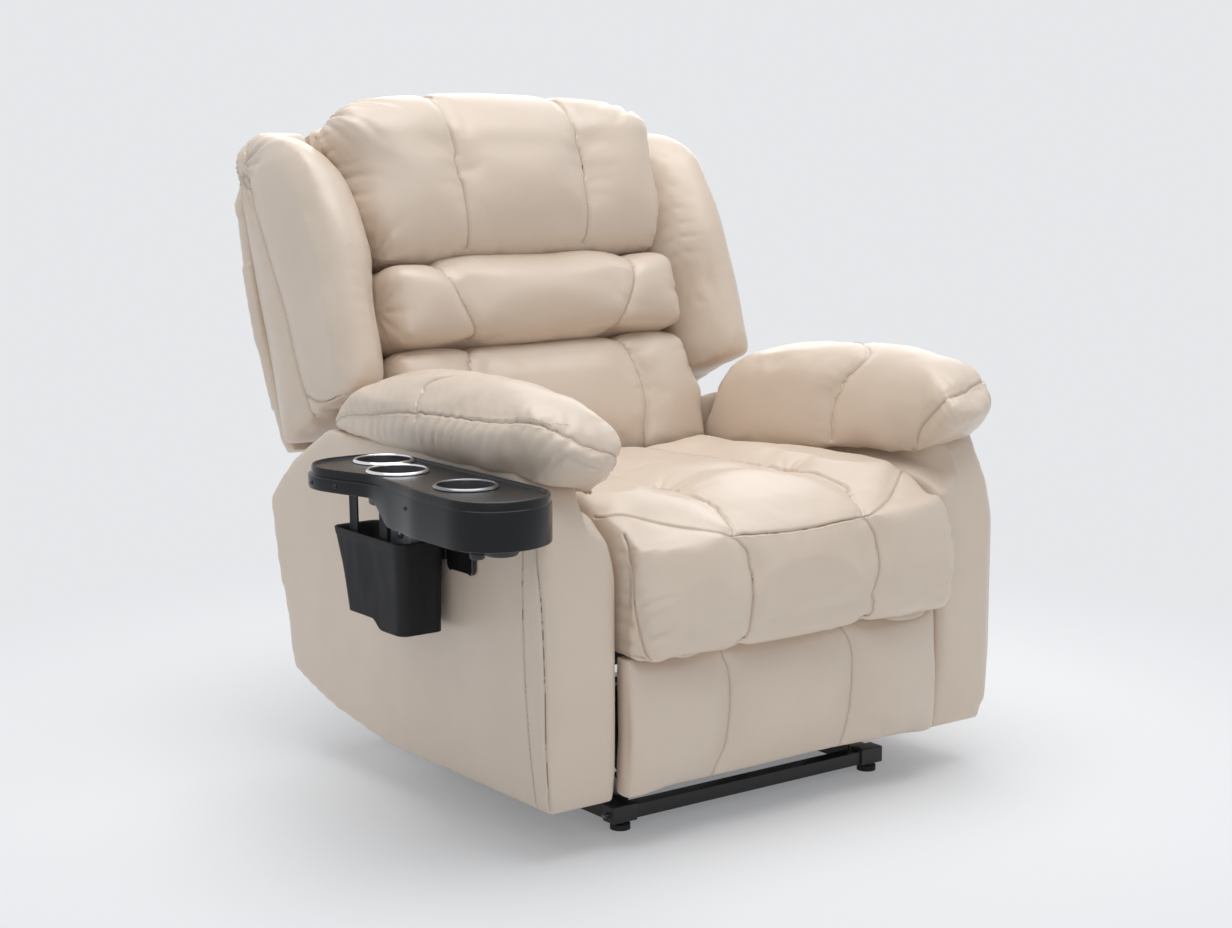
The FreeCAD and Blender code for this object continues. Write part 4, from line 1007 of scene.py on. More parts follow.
# How much fuller the front face is at each height, and how far its lower edge droops.
NOSE_Z = [0.270, 0.277, 0.287, 0.323, 0.390, 0.440, 0.475]
NOSE_FULLNESS = [2.5, 2.35, 1.60, 1.28, 1.12, 1.04, 1.0]
NOSE_START, NOSE_DROOP = -0.340, 0.0175
SEAT_BOX = (-0.330, -0.4530, 0.2620), (0.339, 0.134, 0.4965)
print("seat seams:", len(seat_plan))


# %% Seat cushion
def lift_shoulders(piece):
    """Raise the seat's side edges to the height at which they meet the arm pads."""
    points = get_points(piece)
    surface_now = surface_of(piece)
    for side, lower_front in ((-1, 0.013), (1, 0.0)):
        lift = []
        for y, z in zip(SHOULDER_Y, SHOULDER_Z):
            hit = surface_now.ray_cast(Vector((side * 0.285, y, 0.9)), Vector((0, 0, -1)))[0]
            lift.append(0.010 if hit is None else min(max(z - hit.z, 0.0), 0.035) - lower_front * (y < -0.3))
        print("shoulder lift, mm", side, [round(1000 * value) for value in lift])
        share = ease(side * points[:, 0], 0.14, 0.28) * ease(points[:, 2], 0.34, 0.43)
        share *= 1 - ease(-points[:, 1], 0.425, 0.445)
        points[:, 2] += share * np.interp(points[:, 1], SHOULDER_Y, lift)
    set_points(piece, points)


def shape_nose(points):
    """The front is full down to its lower edge, which droops over the footrest."""
    x, y, z = points.T
    fuller = np.interp(z, NOSE_Z, NOSE_FULLNESS)
    y = np.where(y < NOSE_START, NOSE_START + (y - NOSE_START) * fuller, y)
    cheek = np.where(x > 0, 0.042, 0.012) * ease(np.abs(x), 0.20, 0.30) * ease(-y, 0.402, 0.424)
    x += np.sign(x) * cheek * bell(z - 0.375, 0.085)
    low = 1 - ease(z, 0.290, 0.360)
    z -= NOSE_DROOP * ease(-y, 0.422, 0.440) * low * (1 - 0.40 * (x / 0.33) ** 2)
    return np.stack([x, y, z], 1)


seat = soft_start("seat_cushion", 0.0085, 8)
inflate(seat, seat_plan, pressure=3.4, frames=16, limit=0.011, valley_depth=0.004, slack=0.02)
lift_shoulders(seat)
subdivided(seat)
reshape(seat, shape_nose)
seat_plan = [shape_nose(np.array(points)) for points in seat_plan]
press(seat, SEAT_TIES, 0.026, 0.0045)
for tuft, folds, salt in zip(SEAT_TUFTS, (11, 10), (2, 7)):
    star(seat, tuft, 0.085, folds, 0.0030, salt, dimple=0.006)
seat_lines = lines_on(seat, seat_plan)
for number, pitch, depth, reach, side, salt in (
        (0, 0.038, 0.0012, 0.070, 1, 4), (5, 0.024, 0.0036, 0.070, 0, 12), (6, 0.024, 0.0036, 0.070, 0, 15),
        (3, 0.034, 0.0008, 0.035, 0, 18), (4, 0.034, 0.0008, 0.035, 0, 21)):
    gather(seat, seat_lines[number], pitch, depth, reach, side, salt)
ripple(seat, 0.0024, 0.17, salt=1.0)
ripple(seat, 0.0006, 0.06, (1, 0.5, 1), salt=4.0)
sew_along(seat, seat_plan, body="seat")
box_in(seat, *SEAT_BOX)
finish_soft(seat, "seat_cushion", "seat")

# %% [markdown]
# ## Back cushions
#
# The back has three cushions, one above the other: a firm lower one, a lumbar roll and a big
# headrest pillow. Two upright seams divide each of them into a broad middle and two narrower
# cheeks. The pillow is the softest: its corners are gathered and its cover creases along the edges.

# %% Headrest pillow
HEAD_LEFT = lean([(-118, -112, 380), (-121, -130, 423), (-126, -139, 486), (-127, -140, 560),
                  (-125, -122, 625), (-123, -92, 668), (-121, -50, 680), (-120, -5, 665), (-119, 30, 640)])
HEAD_LOW_EDGE = lean([(-250, -75, 384), (-120, -80, 380), (0, -82, 379), (120, -80, 380), (250, -75, 384)])
head_plan = [HEAD_LEFT, flipped(HEAD_LEFT)]


def shape_pillow(points):
    """The pillow is widest in front, at half height, and its top falls away to the corners."""
    local = upright(points)
    across = np.abs(local[:, 0])
    chairs_left = local[:, 0] > 0
    front = 1 - ease(local[:, 1], -0.070, 0.010)
    rear = ease(local[:, 1], 0.020, 0.090)
    drop = np.where(chairs_left, 0.046, 0.030)
    local[:, 2] -= ease(local[:, 2], 0.570, 0.655) * (0.003 + drop * (across / 0.30) ** 4) * (1 - 0.7 * rear)
    cheek = 0.070 * front * ease(local[:, 2], 0.390, 0.470)
    top_cheek = np.where(chairs_left, 0.015, 0.095) * bell(local[:, 2] - 0.595, 0.048)
    cheek += top_cheek * (1 - ease(local[:, 1], -0.020, 0.050))
    local[:, 0] *= 1 + cheek * np.clip(across / 0.28, 0, 1) ** 2
    return reclined(local)


def widen(points, low, high, factor):
    """Make a cushion's front wider between two heights of the back."""
    local = upright(points)
    share = (1 - ease(local[:, 1], -0.05, 0.02)) * (local[:, 0] / 0.29) ** 2
    local[:, 0] *= 1 + factor * share * ease(local[:, 2], low - 0.02, low + 0.02) \
        * (1 - ease(local[:, 2], high - 0.02, high + 0.02))
    return reclined(local)


def corner_stars(piece, spot, reach, folds, depth, salts):
    """The same fan of folds in the left and the right corner."""
    for side, salt in zip((-1, 1), salts):
        star(piece, lean([(side * spot[0], *spot[1:])])[0], reach, folds, depth, salt)


def gather_seams(piece, plan, pitch, depth, reach, salt):
    """Small folds along every seam of a plan, each seam with its own."""
    for number, line in enumerate(lines_on(piece, plan)):
        gather(piece, line, pitch, depth, reach, salt=salt + number)


head = soft_start("headrest_pillow", 0.0085, 15)
reshape(head, shape_pillow)
inflate(head, head_plan, pressure=4.2, frames=18)
subdivided(head)
corner_stars(head, (300, -40, 622), 0.14, 13, 0.0095, (3, 6))
corner_stars(head, (262, -70, 400), 0.10, 10, 0.0045, (4, 7))
for side, salt in ((-1, 23), (1, 26)):
    edge = lean([(side * 282, -56, 400), (side * 300, -52, 500), (side * 306, -46, 600)])
    gather_seams(head, [edge], 0.026, 0.0052, 0.085, salt)
gather_seams(head, head_plan, 0.045, 0.0008, 0.05, 40)
gather_seams(head, [HEAD_LOW_EDGE], 0.038, 0.0024, 0.06, 31)
ripple(head, 0.0026, 0.15, salt=2.0)
ripple(head, 0.0007, 0.06, salt=6.0)
sew_along(head, head_plan, body="back")
finish_soft(head, "headrest_pillow", "back")

# %% Lumbar roll and lower back
LUMBAR_LEFT = lean([(-190, -80, 374), (-188, -140, 352), (-172, -150, 300), (-148, -138, 246),
                    (-145, -90, 238)])
lumbar_plan = [LUMBAR_LEFT, flipped(LUMBAR_LEFT)]
lumbar = soft_start("lumbar_roll", 0.0085, 16)
reshape(lumbar, widen, 0.20, 0.36, 0.050)
inflate(lumbar, lumbar_plan)
subdivided(lumbar)
corner_stars(lumbar, (262, -70, 300), 0.10, 10, 0.0045, (13, 16))
gather_seams(lumbar, lumbar_plan, 0.034, 0.0014, 0.05, 50)
ripple(lumbar, 0.0025, 0.11, salt=9.0)
sew_along(lumbar, lumbar_plan, body="back")
finish_soft(lumbar, "lumbar_roll", "back")

LOWER_LEFT = lean([(-146, -70, 237), (-153, -118, 225), (-171, -126, 171), (-177, -126, 109),
                   (-161, -120, 42), (-158, -70, 6)])
lower_plan = [LOWER_LEFT, flipped(LOWER_LEFT)]
lower = soft_start("lower_back_cushion", 0.0085, 12)
reshape(lower, widen, 0.11, 0.30, 0.060)
inflate(lower, lower_plan, pressure=3.6, limit=0.011)
calmed(lower, 25, ease(np.abs(get_points(lower)[:, 0]), 0.225, 0.262))
subdivided(lower)
gather_seams(lower, lower_plan, 0.036, 0.0014, 0.06, 60)
corner_stars(lower, (280, -70, 200), 0.11, 11, 0.0026, (23, 26))
corner_stars(lower, (280, -70, 40), 0.09, 9, 0.0026, (24, 27))
ripple(lower, 0.0016, 0.14, salt=12.0)
sew_along(lower, lower_plan, body="back")
finish_soft(lower, "lower_back_cushion", "back")

# %% [markdown]
# ## Wings
#
# The wings are padded side panels that hold the head. Each is sewn as one piece with a flat strip
# down its outer rear edge. Only one is made: the other is its mirror image, as its pattern would be.

# %% Wings
WING_STRIP = lean([(-398, 84, 640), (-406, 78, 600), (-408, 70, 557), (-408, 47, 442), (-408, 20, 328),
                   (-406, 8, 200), (-400, 0, 140)])
WING_SHORT = lean([(-408, 72, 558), (-409, 98, 568), (-404, 122, 578)])
WING_FOOT = lean([(-404, -90, 138), (-408, -40, 165), (-408, 6, 190)])
WING_TOP_CORNER = lean([(-404, 96, 596)])[0]
WING_INNER_EDGE = lean([(-300, -120, 250), (-292, -126, 380), (-290, -120, 520), (-300, -90, 620)])
wing_plan = [WING_STRIP, WING_SHORT, WING_FOOT]

# The wing's front edge: how far forward it stands at each height of the back.
WING_Q = [0.13, 0.30, 0.40, 0.45, 0.50, 0.528, 0.550, 0.575, 0.600, 0.627, 0.645, 0.660]
WING_FRONT = [-0.170, -0.172, -0.166, -0.155, -0.148, -0.136, -0.114, -0.085, -0.050, 0.006, 0.060, 0.130]
WING_RIDGE, WING_OUTSIDE = 0.345, 0.410


def shape_wing(points):
    """The front slopes back towards the pillow and the top, and makes room for the lumbar roll."""
    x, p, q = upright(points).T
    across = np.abs(x)
    front = np.interp(q, WING_Q, WING_FRONT)
    inner = np.minimum(1.68 * np.clip(WING_RIDGE - across, 0, 1), np.maximum(0.045 - front, 0))
    front += inner - 0.35 * np.clip(across - WING_RIDGE, 0, 1)
    p = levelled(p, front, 0.010)
    room = (1 - ease(q, 0.300, 0.400)) * (1 - ease(p, -0.04, 0.04))
    x = np.sign(x) * (WING_OUTSIDE - (WING_OUTSIDE - across) * (1 - 0.17 * room))
    return reclined(np.stack([x, p, q], 1))


wing = soft_start("wing_left", 0.006, 2)
reshape(wing, shape_wing)
remeshed(wing, 0.0085, 9)
local = upright(get_points(wing))
calmed(wing, 30, ease(local[:, 2], 0.38, 0.47) * (1 - ease(local[:, 1], 0.0, 0.08)))
inflate(wing, wing_plan, pressure=3.4, limit=0.008, take_in=0.003, valley_depth=0.003, slack=0.015)
subdivided(wing)
wing_lines = lines_on(wing, wing_plan)
gather(wing, wing_lines[0], 0.045, 0.0012, 0.05, side=1, salt=71)
gather(wing, wing_lines[0], 0.038, 0.0016, 0.04, side=-1, salt=72)
star(wing, WING_TOP_CORNER, 0.14, 16, 0.0062, 73)
gather(wing, wing_lines[1], 0.015, 0.0026, 0.080, salt=77)
gather_seams(wing, [WING_INNER_EDGE], 0.040, 0.0022, 0.06, 75)
ripple(wing, 0.0022, 0.16, salt=15.0)
sew_along(wing, wing_plan, body="back")
wing_twin = mirrored(wing, "wing_right_sewn")
finish_soft(wing, "wing_left", "back")
finish_soft(wing_twin, "wing_right", "back")
stitch_twin("back", len(wing_plan))

# %% [markdown]
# ## Arms
#
# An arm is a flat-sided box with a thick pillow strapped over its top and rolled down its front.
# The pillow has a boxing band round its edge and a cross seam where it bends over the front. Both
# pillows are filled and sewn on their own, so that they are a little unlike. The box under each is
# tight and almost smooth, with a pair of upright seams near its front edge.

# %% Arm pads
PAD_BOXING = mm([(428, 176, 545), (440, 170, 560), (446, 117, 575), (453, 26, 586), (456, -41, 598),
                 (455, -115, 607), (453, -183, 612), (449, -280, 617), (441, -338, 620), (424, -382, 618),
                 (402, -408, 608), (372, -424, 590), (340, -424, 576), (315, -407, 562), (302, -380, 540),
                 (297, -345, 490)])
PAD_CROSS = mm([(457, -100, 600), (440, -90, 632), (420, -90, 648), (380, -150, 662), (336, -206, 650),
                (306, -180, 610), (296, -160, 564), (296, -162, 505)])
FRONT_SEAM = mm([(441, -345, 625), (418, -398, 622), (375, -412, 613), (322, -402, 591), (301, -378, 562),
                 (296, -342, 490)])
BOXING_SIDE = len(PAD_BOXING) - 8

# Centre of the outer corner's round, and centre and radius of the nose's.
CORNER_X, CORNER_Y = 0.336, -0.330
NOSE_X, NOSE_Y, NOSE_RADIUS = 0.346, -0.375, 0.062
# The pad's top and its underside in front, by the distance forward.
ROOF_AT = [0.20, 0.27, 0.30, 0.34, 0.38, 0.416, 0.432, 0.440, 0.452]
ROOF_Z = [0.720, 0.680, 0.664, 0.652, 0.631, 0.604, 0.584, 0.564, 0.540]
UNDER_AT = [0.300, 0.328, 0.342, 0.359, 0.389, 0.400, 0.416, 0.440]
UNDER_Z = [0.474, 0.474, 0.481, 0.491, 0.516, 0.527, 0.540, 0.554]
FLAP_Z = 0.541


def rounded_off(x, y, centre, radius, where):
    """Pull points that lie outside a circle in to it, in plan."""
    out_x, out_y = x - centre[0], y - centre[1]
    gap = np.hypot(out_x, out_y)
    pull = np.where(where(out_x, out_y) & (gap > radius), radius / np.maximum(gap, 1e-6), 1.0)
    return centre[0] + out_x * pull, centre[1] + out_y * pull


def shape_pad(points):
    """Round the outer front corner like a pillow's, and lift the nose off the arm's front."""
    x, y, z = points.T
    radius = 0.112 - 0.020 * ((z - 0.580) / 0.080) ** 2
    x, y = rounded_off(x, y, (CORNER_X, CORNER_Y), radius, lambda a, b: (a > 0) & (b < 0))
    x, y = rounded_off(x, y, (NOSE_X, NOSE_Y), NOSE_RADIUS, lambda a, b: (a < 0) & (b < 0))
    z = -levelled(-z, -np.interp(-y, ROOF_AT, ROOF_Z), 0.008)
    hang = (1 - ease(x, 0.318, 0.336)) * (1 - ease(z, 0.555, 0.630)) * ease(y, -0.385, -0.350)
    z -= (FLAP_Z - np.interp(y, SHOULDER_Y, SHOULDER_Z)) * hang
    under = np.interp(-y, UNDER_AT, UNDER_Z)
    under += 0.030 * np.clip((x - 0.300) / 0.11, 0, 1)
    lifted = np.where(y < -0.300, np.maximum(z, under + 0.15 * (z - under)), z)
    return np.stack([x, y, lifted], 1)


def sewn_pad(piece, plan, side, salt):
    """Fill one pad and sew it; side is 1 for the pad the plan was drawn for, -1 for its mirror image."""
    inflate(piece, plan, pressure=4.4, frames=16, limit=0.011)
    subdivided(piece)
    boxing, cross = lines_on(piece, plan)
    gather(piece, boxing, 0.024, 0.0028, 0.060, side, salt, stop=0.88)
    gather(piece, boxing, 0.026, 0.0034, 0.085, -side, salt + 1, stop=0.88)
    gather(piece, cross, 0.034, 0.0008, 0.050, salt=salt + 2)
    star(piece, mm([(side * 340, -425, 545)])[0], 0.10, 12, 0.0024, salt + 4)
    ripple(piece, 0.0020, 0.14, salt=18.0 + salt)
    sew_along(piece, plan, body="chassis", depth=0.0018)


def plump(piece, rise):
    """Raise or lower a pad's crown a little: no two stuffed pads are quite alike."""
    points = get_points(piece)
    points[:, 2] += rise * (ease(points[:, 2], 0.575, 0.640) * bell(points[:, 1] + 0.060, 0.170))
    set_points(piece, points)


pad = soft_start("arm_pad_right", 0.006, 2)
reshape(pad, shape_pad)
remeshed(pad, 0.0085, 9)
points = get_points(pad)
calmed(pad, 45, (1 - ease(points[:, 2], 0.530, 0.580)) * (1 - ease(points[:, 1], -0.330, -0.270)))
pad_twin = mirrored(pad, "arm_pad_left_sewn")
sewn_pad(pad_twin, [flipped(PAD_BOXING), flipped(PAD_CROSS)], -1, 81)
sewn_pad(pad, [PAD_BOXING[:BOXING_SIDE] + FRONT_SEAM, PAD_CROSS], 1, 91)
plump(pad_twin, 0.002)
plump(pad, -0.003)
finish_soft(pad, "arm_pad_right", "chassis")
finish_soft(pad_twin, "arm_pad_left", "chassis")
stitch_twin("chassis", 2)

# %% Arm boxes
ARM_SEAM = mm([(432, -398, 72), (431, -398, 240), (435, -394, 379), (440, -384, 440), (440, -374, 470)])
ARM_SEAM_BACK = mm([(434, -362, 72), (435, -362, 240), (438, -360, 379), (441, -356, 440), (440, -352, 470)])
ARM_MIDDLE = 0.378


def shape_arm(points):
    """The arm's top front rolls back, and its inner top edge gives way to the hanging pad."""
    x, y, z = points.T
    roll = ease(z, 0.385, 0.530) * ease(-y, 0.325, 0.395)
    x = ARM_MIDDLE + (x - ARM_MIDDLE) * (1 - 0.42 * roll)
    flap = np.interp(y, SHOULDER_Y, SHOULDER_Z)
    x += 0.028 * ease(z, flap - 0.010, flap + 0.006) * (1 - ease(x, 0.325, 0.365)) * (1 - ease(y, 0.19, 0.21))
    return np.stack([x, y, z], 1)


arm = soft_start("arm_body_right", 0.008, 5)
reshape(arm, shape_arm)
subdivided(arm)
ripple(arm, 0.0016, 0.30, salt=24.0)
sew_along(arm, [ARM_SEAM, ARM_SEAM_BACK], body="chassis", depth=0.0013, offset=-0.004)
arm_twin = mirrored(arm, "arm_body_left_sewn")
finish_soft(arm, "arm_body_right", "chassis")
finish_soft(arm_twin, "arm_body_left", "chassis")
stitch_twin("chassis", 2)

# %% [markdown]
# ## Footrest and back panel
#
# The footrest hangs below the seat in three panels, with its two seams in line with the seat's
# front ones. The panel behind the back closes the frame: thin padding, pulled tight. A padded
# roll covers the board's top edge, between the pillow and the panel.

# %% Footrest pad
FOOT_LEFT = mm([(-122, -398, 260), (-123, -411, 246), (-113, -412, 222), (-111, -412, 180), (-119, -411, 127),
                (-137, -411, 92), (-142, -398, 76)])
FOOT_RIGHT = mm([(108, -398, 260), (114, -411, 248), (127, -412, 222), (129, -412, 182), (124, -411, 128),
                 (112, -411, 92), (107, -398, 76)])
FOOT_MIDDLE_Z, FOOT_TOP_Z = 0.200, 0.2770
FOOT_BOX = (-0.3100, -0.4285, 0.0685), (0.3110, -0.3765, 0.2772)
foot_plan = [FOOT_LEFT, FOOT_RIGHT]


def fill_out_sides(points):
    """The front bulges a little past the sides."""
    x = points[:, 0]
    points[:, 0] += np.sign(x) * 0.005 * ease(np.abs(x), 0.27, 0.30) * ease(-points[:, 1], 0.409, 0.420)
    return points


def raise_top(points):
    """The upper half reaches up to the seat's lip, most at its corners."""
    x, y, z = points.T
    stretch = (FOOT_TOP_Z - FOOT_MIDDLE_Z) / (z.max() - FOOT_MIDDLE_Z)
    z = np.where(z > FOOT_MIDDLE_Z, FOOT_MIDDLE_Z + (z - FOOT_MIDDLE_Z) * stretch, z)
    z += 0.009 * ease(np.abs(x), 0.270, 0.305) * ease(z, 0.235, 0.265)
    return np.stack([x, y, z], 1)


foot = soft_start("footrest_pad", 0.008, 3)
inflate(foot, foot_plan, limit=0.015, take_in=0.002, valley_depth=0.002, slack=0.02)
subdivided(foot)
gather_seams(foot, foot_plan, 0.036, 0.0010, 0.04, 90)
ripple(foot, 0.0018, 0.12, salt=27.0)
sew_along(foot, foot_plan, body="footrest", depth=0.0016)
reshape(foot, fill_out_sides)
reshape(foot, raise_top)
box_in(foot, *FOOT_BOX)
finish_soft(foot, "footrest_pad", "footrest")

# %% Back panel and roll
PANEL_EDGE = lean([(-366, 155, 592), (-372, 155, 400), (-372, 155, 200), (-372, 155, 134)])
PANEL_SHOULDER_Q = 0.40
ROLL_RINGS, ROLL_SIDES = 90, 32
ROLL_HALF_DEPTH, ROLL_HALF_HEIGHT = 0.022, 0.017
ROLL_SHORT = 0.003


def shape_panel(points):
    """The panel's upper corners are cut round, like the wings in front of them."""
    x, p, q = upright(points).T
    top = 0.648 - 0.064 * np.clip((np.abs(x) - 0.25) / 0.15, 0, 1.05) ** 2
    lowered = PANEL_SHOULDER_Q + (q - PANEL_SHOULDER_Q) * (top - PANEL_SHOULDER_Q) / 0.25
    q = np.where(q > PANEL_SHOULDER_Q, lowered, q)
    return reclined(np.stack([x, p, q], 1))


panel = soft_start("back_panel", 0.008, 6)
reshape(panel, shape_panel)
subdivided(panel)
ripple(panel, 0.0010, 0.24, salt=30.0)
sew_along(panel, [PANEL_EDGE, flipped(PANEL_EDGE)], body="back", depth=0.0018)
finish_soft(panel, "back_panel", "back")


def squared(wave):
    """A sine or cosine whose curve is a little squarer."""
    return math.copysign(abs(wave) ** 0.8, wave)


board = upright(get_points(nodes["back_board"]))
board_low, board_high = board.min(0), board.max(0)
rings = []
for share in np.linspace(-1, 1, ROLL_RINGS):
    full = math.sqrt(max(1 - abs(share) ** 10, 0.0004))
    ring = []
    for turn in np.linspace(0, 2 * math.pi, ROLL_SIDES + 1)[:-1]:
        lump = 1 + 0.03 * noise.noise(Vector((share * 6, math.cos(turn), math.sin(turn))))
        across = ROLL_HALF_DEPTH * full * lump * squared(math.cos(turn))
        along = ROLL_HALF_HEIGHT * full * lump * squared(math.sin(turn))
        ring.append((share * (board_high[0] - ROLL_SHORT), (board_low[1] + board_high[1]) / 2 + across,
                     board_high[2] + along))
    rings.append(reclined(np.array(ring)))
shell = bmesh.new()
skin(shell, rings, capped=True)
roll = new_piece("back_top_roll", shell, cover)
roll.data.attributes.new("seam", "FLOAT", "POINT")
shade_smooth(roll)
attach(roll, "back")
print("back_top_roll", len(roll.data.polygons), "faces over the board's top edge at", board_high[2].round(3))

# %% [markdown]
# ## Thread
#
# All the stitch lines noted on the way are turned into thread in one go, one mesh per body.

# %% Topstitching
for body_name, runs in stitch_lines.items():
    sewing = line_mesh("topstitch_" + body_name, runs)
    grown(sewing, stitch_tree, {"Material": thread})
    shade_smooth(sewing)
    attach(sewing, body_name)
    print(sewing.name, len(runs), "runs", len(sewing.data.polygons), "faces")

# %% [markdown]
# ## Tools for hard pieces
#
# Moulded and pressed parts have no knife edges. Where CAD already has the right shape, a copy of
# its shell is merged and its edges are rounded. Turned parts are spun from a profile, and the
# tray is lofted: its outline is repeated at each step of a moulded edge.

# %% Rounding, spinning and lofting
FLAT_ANGLE = math.radians(1.0)
ROUNDED_ANGLE = math.radians(32)


def shade_by_angle(piece, angle):
    shade_smooth(piece)
    piece.data.set_sharp_from_angle(angle=math.radians(angle))


def rounded(node, width, material):
    """A node's shell with its sharp edges rounded."""
    piece = new_piece(node + "_moulded", editing(nodes[node].data, merge=True), outward=False)
    mesh = piece.data
    if mesh.attributes.get("custom_normal"):
        mesh.attributes.remove(mesh.attributes["custom_normal"])
    shell = editing(mesh)
    bmesh.ops.dissolve_limit(shell, angle_limit=FLAT_ANGLE, verts=shell.verts, edges=shell.edges)
    for edge in shell.edges:
        edge.smooth = True
    close_into(shell, mesh)
    bevel = piece.modifiers.new("edges", "BEVEL")
    bevel.width = width
    bevel.segments = 3
    bevel.limit_method = "ANGLE"
    bevel.angle_limit = ROUNDED_ANGLE
    bevel.harden_normals = True
    mesh.materials.clear()
    mesh.materials.append(material)
    mesh.polygons.foreach_set("material_index", [0] * len(mesh.polygons))
    shade_smooth(piece)
    return settle(piece)


def circle(centre, radius, height, steps):
    """Points round an upright axis."""
    return [(centre[0] + radius * math.cos(2 * math.pi * i / steps),
             centre[1] + radius * math.sin(2 * math.pi * i / steps), height) for i in range(steps)]


def spun(shell, profile, centre, steps):
    """A turned shape from (radius, height) points, about an upright axis."""
    made = skin(shell, [circle(centre, radius, height, steps) for radius, height in profile])
    bmesh.ops.remove_doubles(shell, verts=[vert for ring in made for vert in ring], dist=1e-6)


def turned_piece(name, profile, centres, steps, material, angle=40):
    """The same turned shape about one or more centres, as one piece."""
    shell = bmesh.new()
    for centre in centres:
        spun(shell, profile, centre, steps)
    piece = new_piece(name, shell, material)
    shade_by_angle(piece, angle)
    return piece


def place_hard(piece, body, nodes_replaced):
    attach(piece, body)
    if nodes_replaced:
        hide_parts(*nodes_replaced)
    print(piece.name, len(piece.data.polygons), "faces")


print("hard-part helpers ready")

# %% [markdown]
# ## The tray
#
# The tray is one moulding: a flat top inside a raised bead, an upper lip, a small step and a
# skirt that grows deep under the front lobe. Its outline comes from the CAD tray's top face. Each
# step of the edge is that outline again, moved inwards and down.

# %% Tray outline
TRAY_TOP = 0.540
OUTLINE_POINTS = 260
CUPS = [(-0.500, -0.097), (-0.531, -0.186), (-0.524, -0.350)]
FRONT_END, FRONT_SHARE = -0.400, 0.91


def softened(ring, passes):
    """A closed row of points, each evened out with its two neighbours again and again."""
    for _ in range(passes):
        ring = (np.roll(ring, 1, axis=0) + 2 * ring + np.roll(ring, -1, axis=0)) / 4
    return ring


def rim_loops(node, height):
    """The closed loops of edges round a node's flat faces at one height, always in the same order."""
    shell = editing(nodes[node].data, merge=True)
    top = {face for face in shell.faces
           if face.normal.z > 0.99 and abs(face.calc_center_median().z - height) < 1e-4}
    rim = [edge for edge in shell.edges if len([face for face in edge.link_faces if face in top]) == 1]
    left = dict.fromkeys(rim)
    loops = []
    while left:
        edge = next(iter(left))
        del left[edge]
        loop = [edge.verts[0], edge.verts[1]]
        while loop[-1] != loop[0]:
            follow = [e for e in loop[-1].link_edges if e in left]
            if not follow:
                break
            del left[follow[0]]
            loop.append(follow[0].other_vert(loop[-1]))
        loops.append([vert.co.copy() for vert in loop[:-1]])
    shell.free()
    return loops


def outline_of(node, height, count):
    """The longest of those loops, evenly sampled and running counter-clockwise."""
    loops = rim_loops(node, height)
    length = [sum((a - b).length for a, b in zip(loop, loop[1:] + loop[:1])) for loop in loops]
    loop = loops[length.index(max(length))]
    points = np.array([(p.x, p.y) for p in loop + loop[:1]])
    travelled = np.concatenate([[0], np.cumsum(np.linalg.norm(np.diff(points, axis=0), axis=1))])
    even = np.linspace(0, travelled[-1], count + 1)[:-1]
    ring = np.stack([np.interp(even, travelled, points[:, 0]), np.interp(even, travelled, points[:, 1])], 1)
    area = 0.5 * np.sum(ring[:, 0] * np.roll(ring[:, 1], -1) - np.roll(ring[:, 0], -1) * ring[:, 1])
    return ring if area > 0 else ring[::-1]


def moved_in(ring, amount):
    """A closed outline moved inwards by an amount that may differ from point to point."""
    tangent = np.roll(ring, -2, axis=0) - np.roll(ring, 2, axis=0)
    tangent /= np.linalg.norm(tangent, axis=1)[:, None]
    inward = softened(np.stack([-tangent[:, 1], tangent[:, 0]], 1), 4)
    inward /= np.linalg.norm(inward, axis=1)[:, None]
    return ring + inward * np.asarray(amount).reshape(-1, 1)


tray_ring = softened(outline_of("tray_body", TRAY_TOP, OUTLINE_POINTS), 14)
ring_y = tray_ring[:, 1]
tray_ring[:, 1] = np.where(ring_y < FRONT_END, FRONT_END + (ring_y - FRONT_END) * FRONT_SHARE, ring_y)
print("tray outline:", len(tray_ring), "points, x", tray_ring[:, 0].min().round(3), "to",
      tray_ring[:, 0].max().round(3))

# %% Tray moulding
TRAY_FLOOR, TRAY_DISH = 0.5102, TRAY_TOP - 0.0016
LOBE_STARTS, LOBE_FULL, LOBE_DEPTH = -0.208, -0.264, 0.034
HOLE_RADIUS, HOLE_STEPS = 0.0412, 56
FLOOR_CUTS = (-0.208, -0.218, -0.228, -0.236, -0.244, -0.254, -0.264)

lobe = ease(tray_ring[:, 1], LOBE_STARTS, LOBE_FULL)
skirt_low = 0.510 - LOBE_DEPTH * lobe
lip = 0.0046 - 0.0030 * lobe

# The moulded edge from the dished top outwards and down, as insets and heights.
moulded_edge = [(0.0120, -0.0016), (0.0098, -0.0016), (0.0090, -0.0010), (0.0078, 0.0012), (0.0062, 0.0020)]
moulded_edge += [(lip + grow, height) for grow, height in (
    (0.0018, 0.0016), (0.0006, 0.0004), (0.0, -0.0014), (0.0, -0.0080), (0.0, -0.0098))]
moulded_edge += [(lip * 0.25, -0.0108), (0.0000, -0.0118), (-0.0002, -0.0135)]
rings = [(moved_in(tray_ring, inset), np.full(OUTLINE_POINTS, TRAY_TOP + height))
         for inset, height in moulded_edge]
rings += [(moved_in(tray_ring, inset), skirt_low + rise)
          for inset, rise in ((0.0, 0.0030), (0.0008, 0.0010), (0.0030, 0.0), (0.0060, 0.0002))]


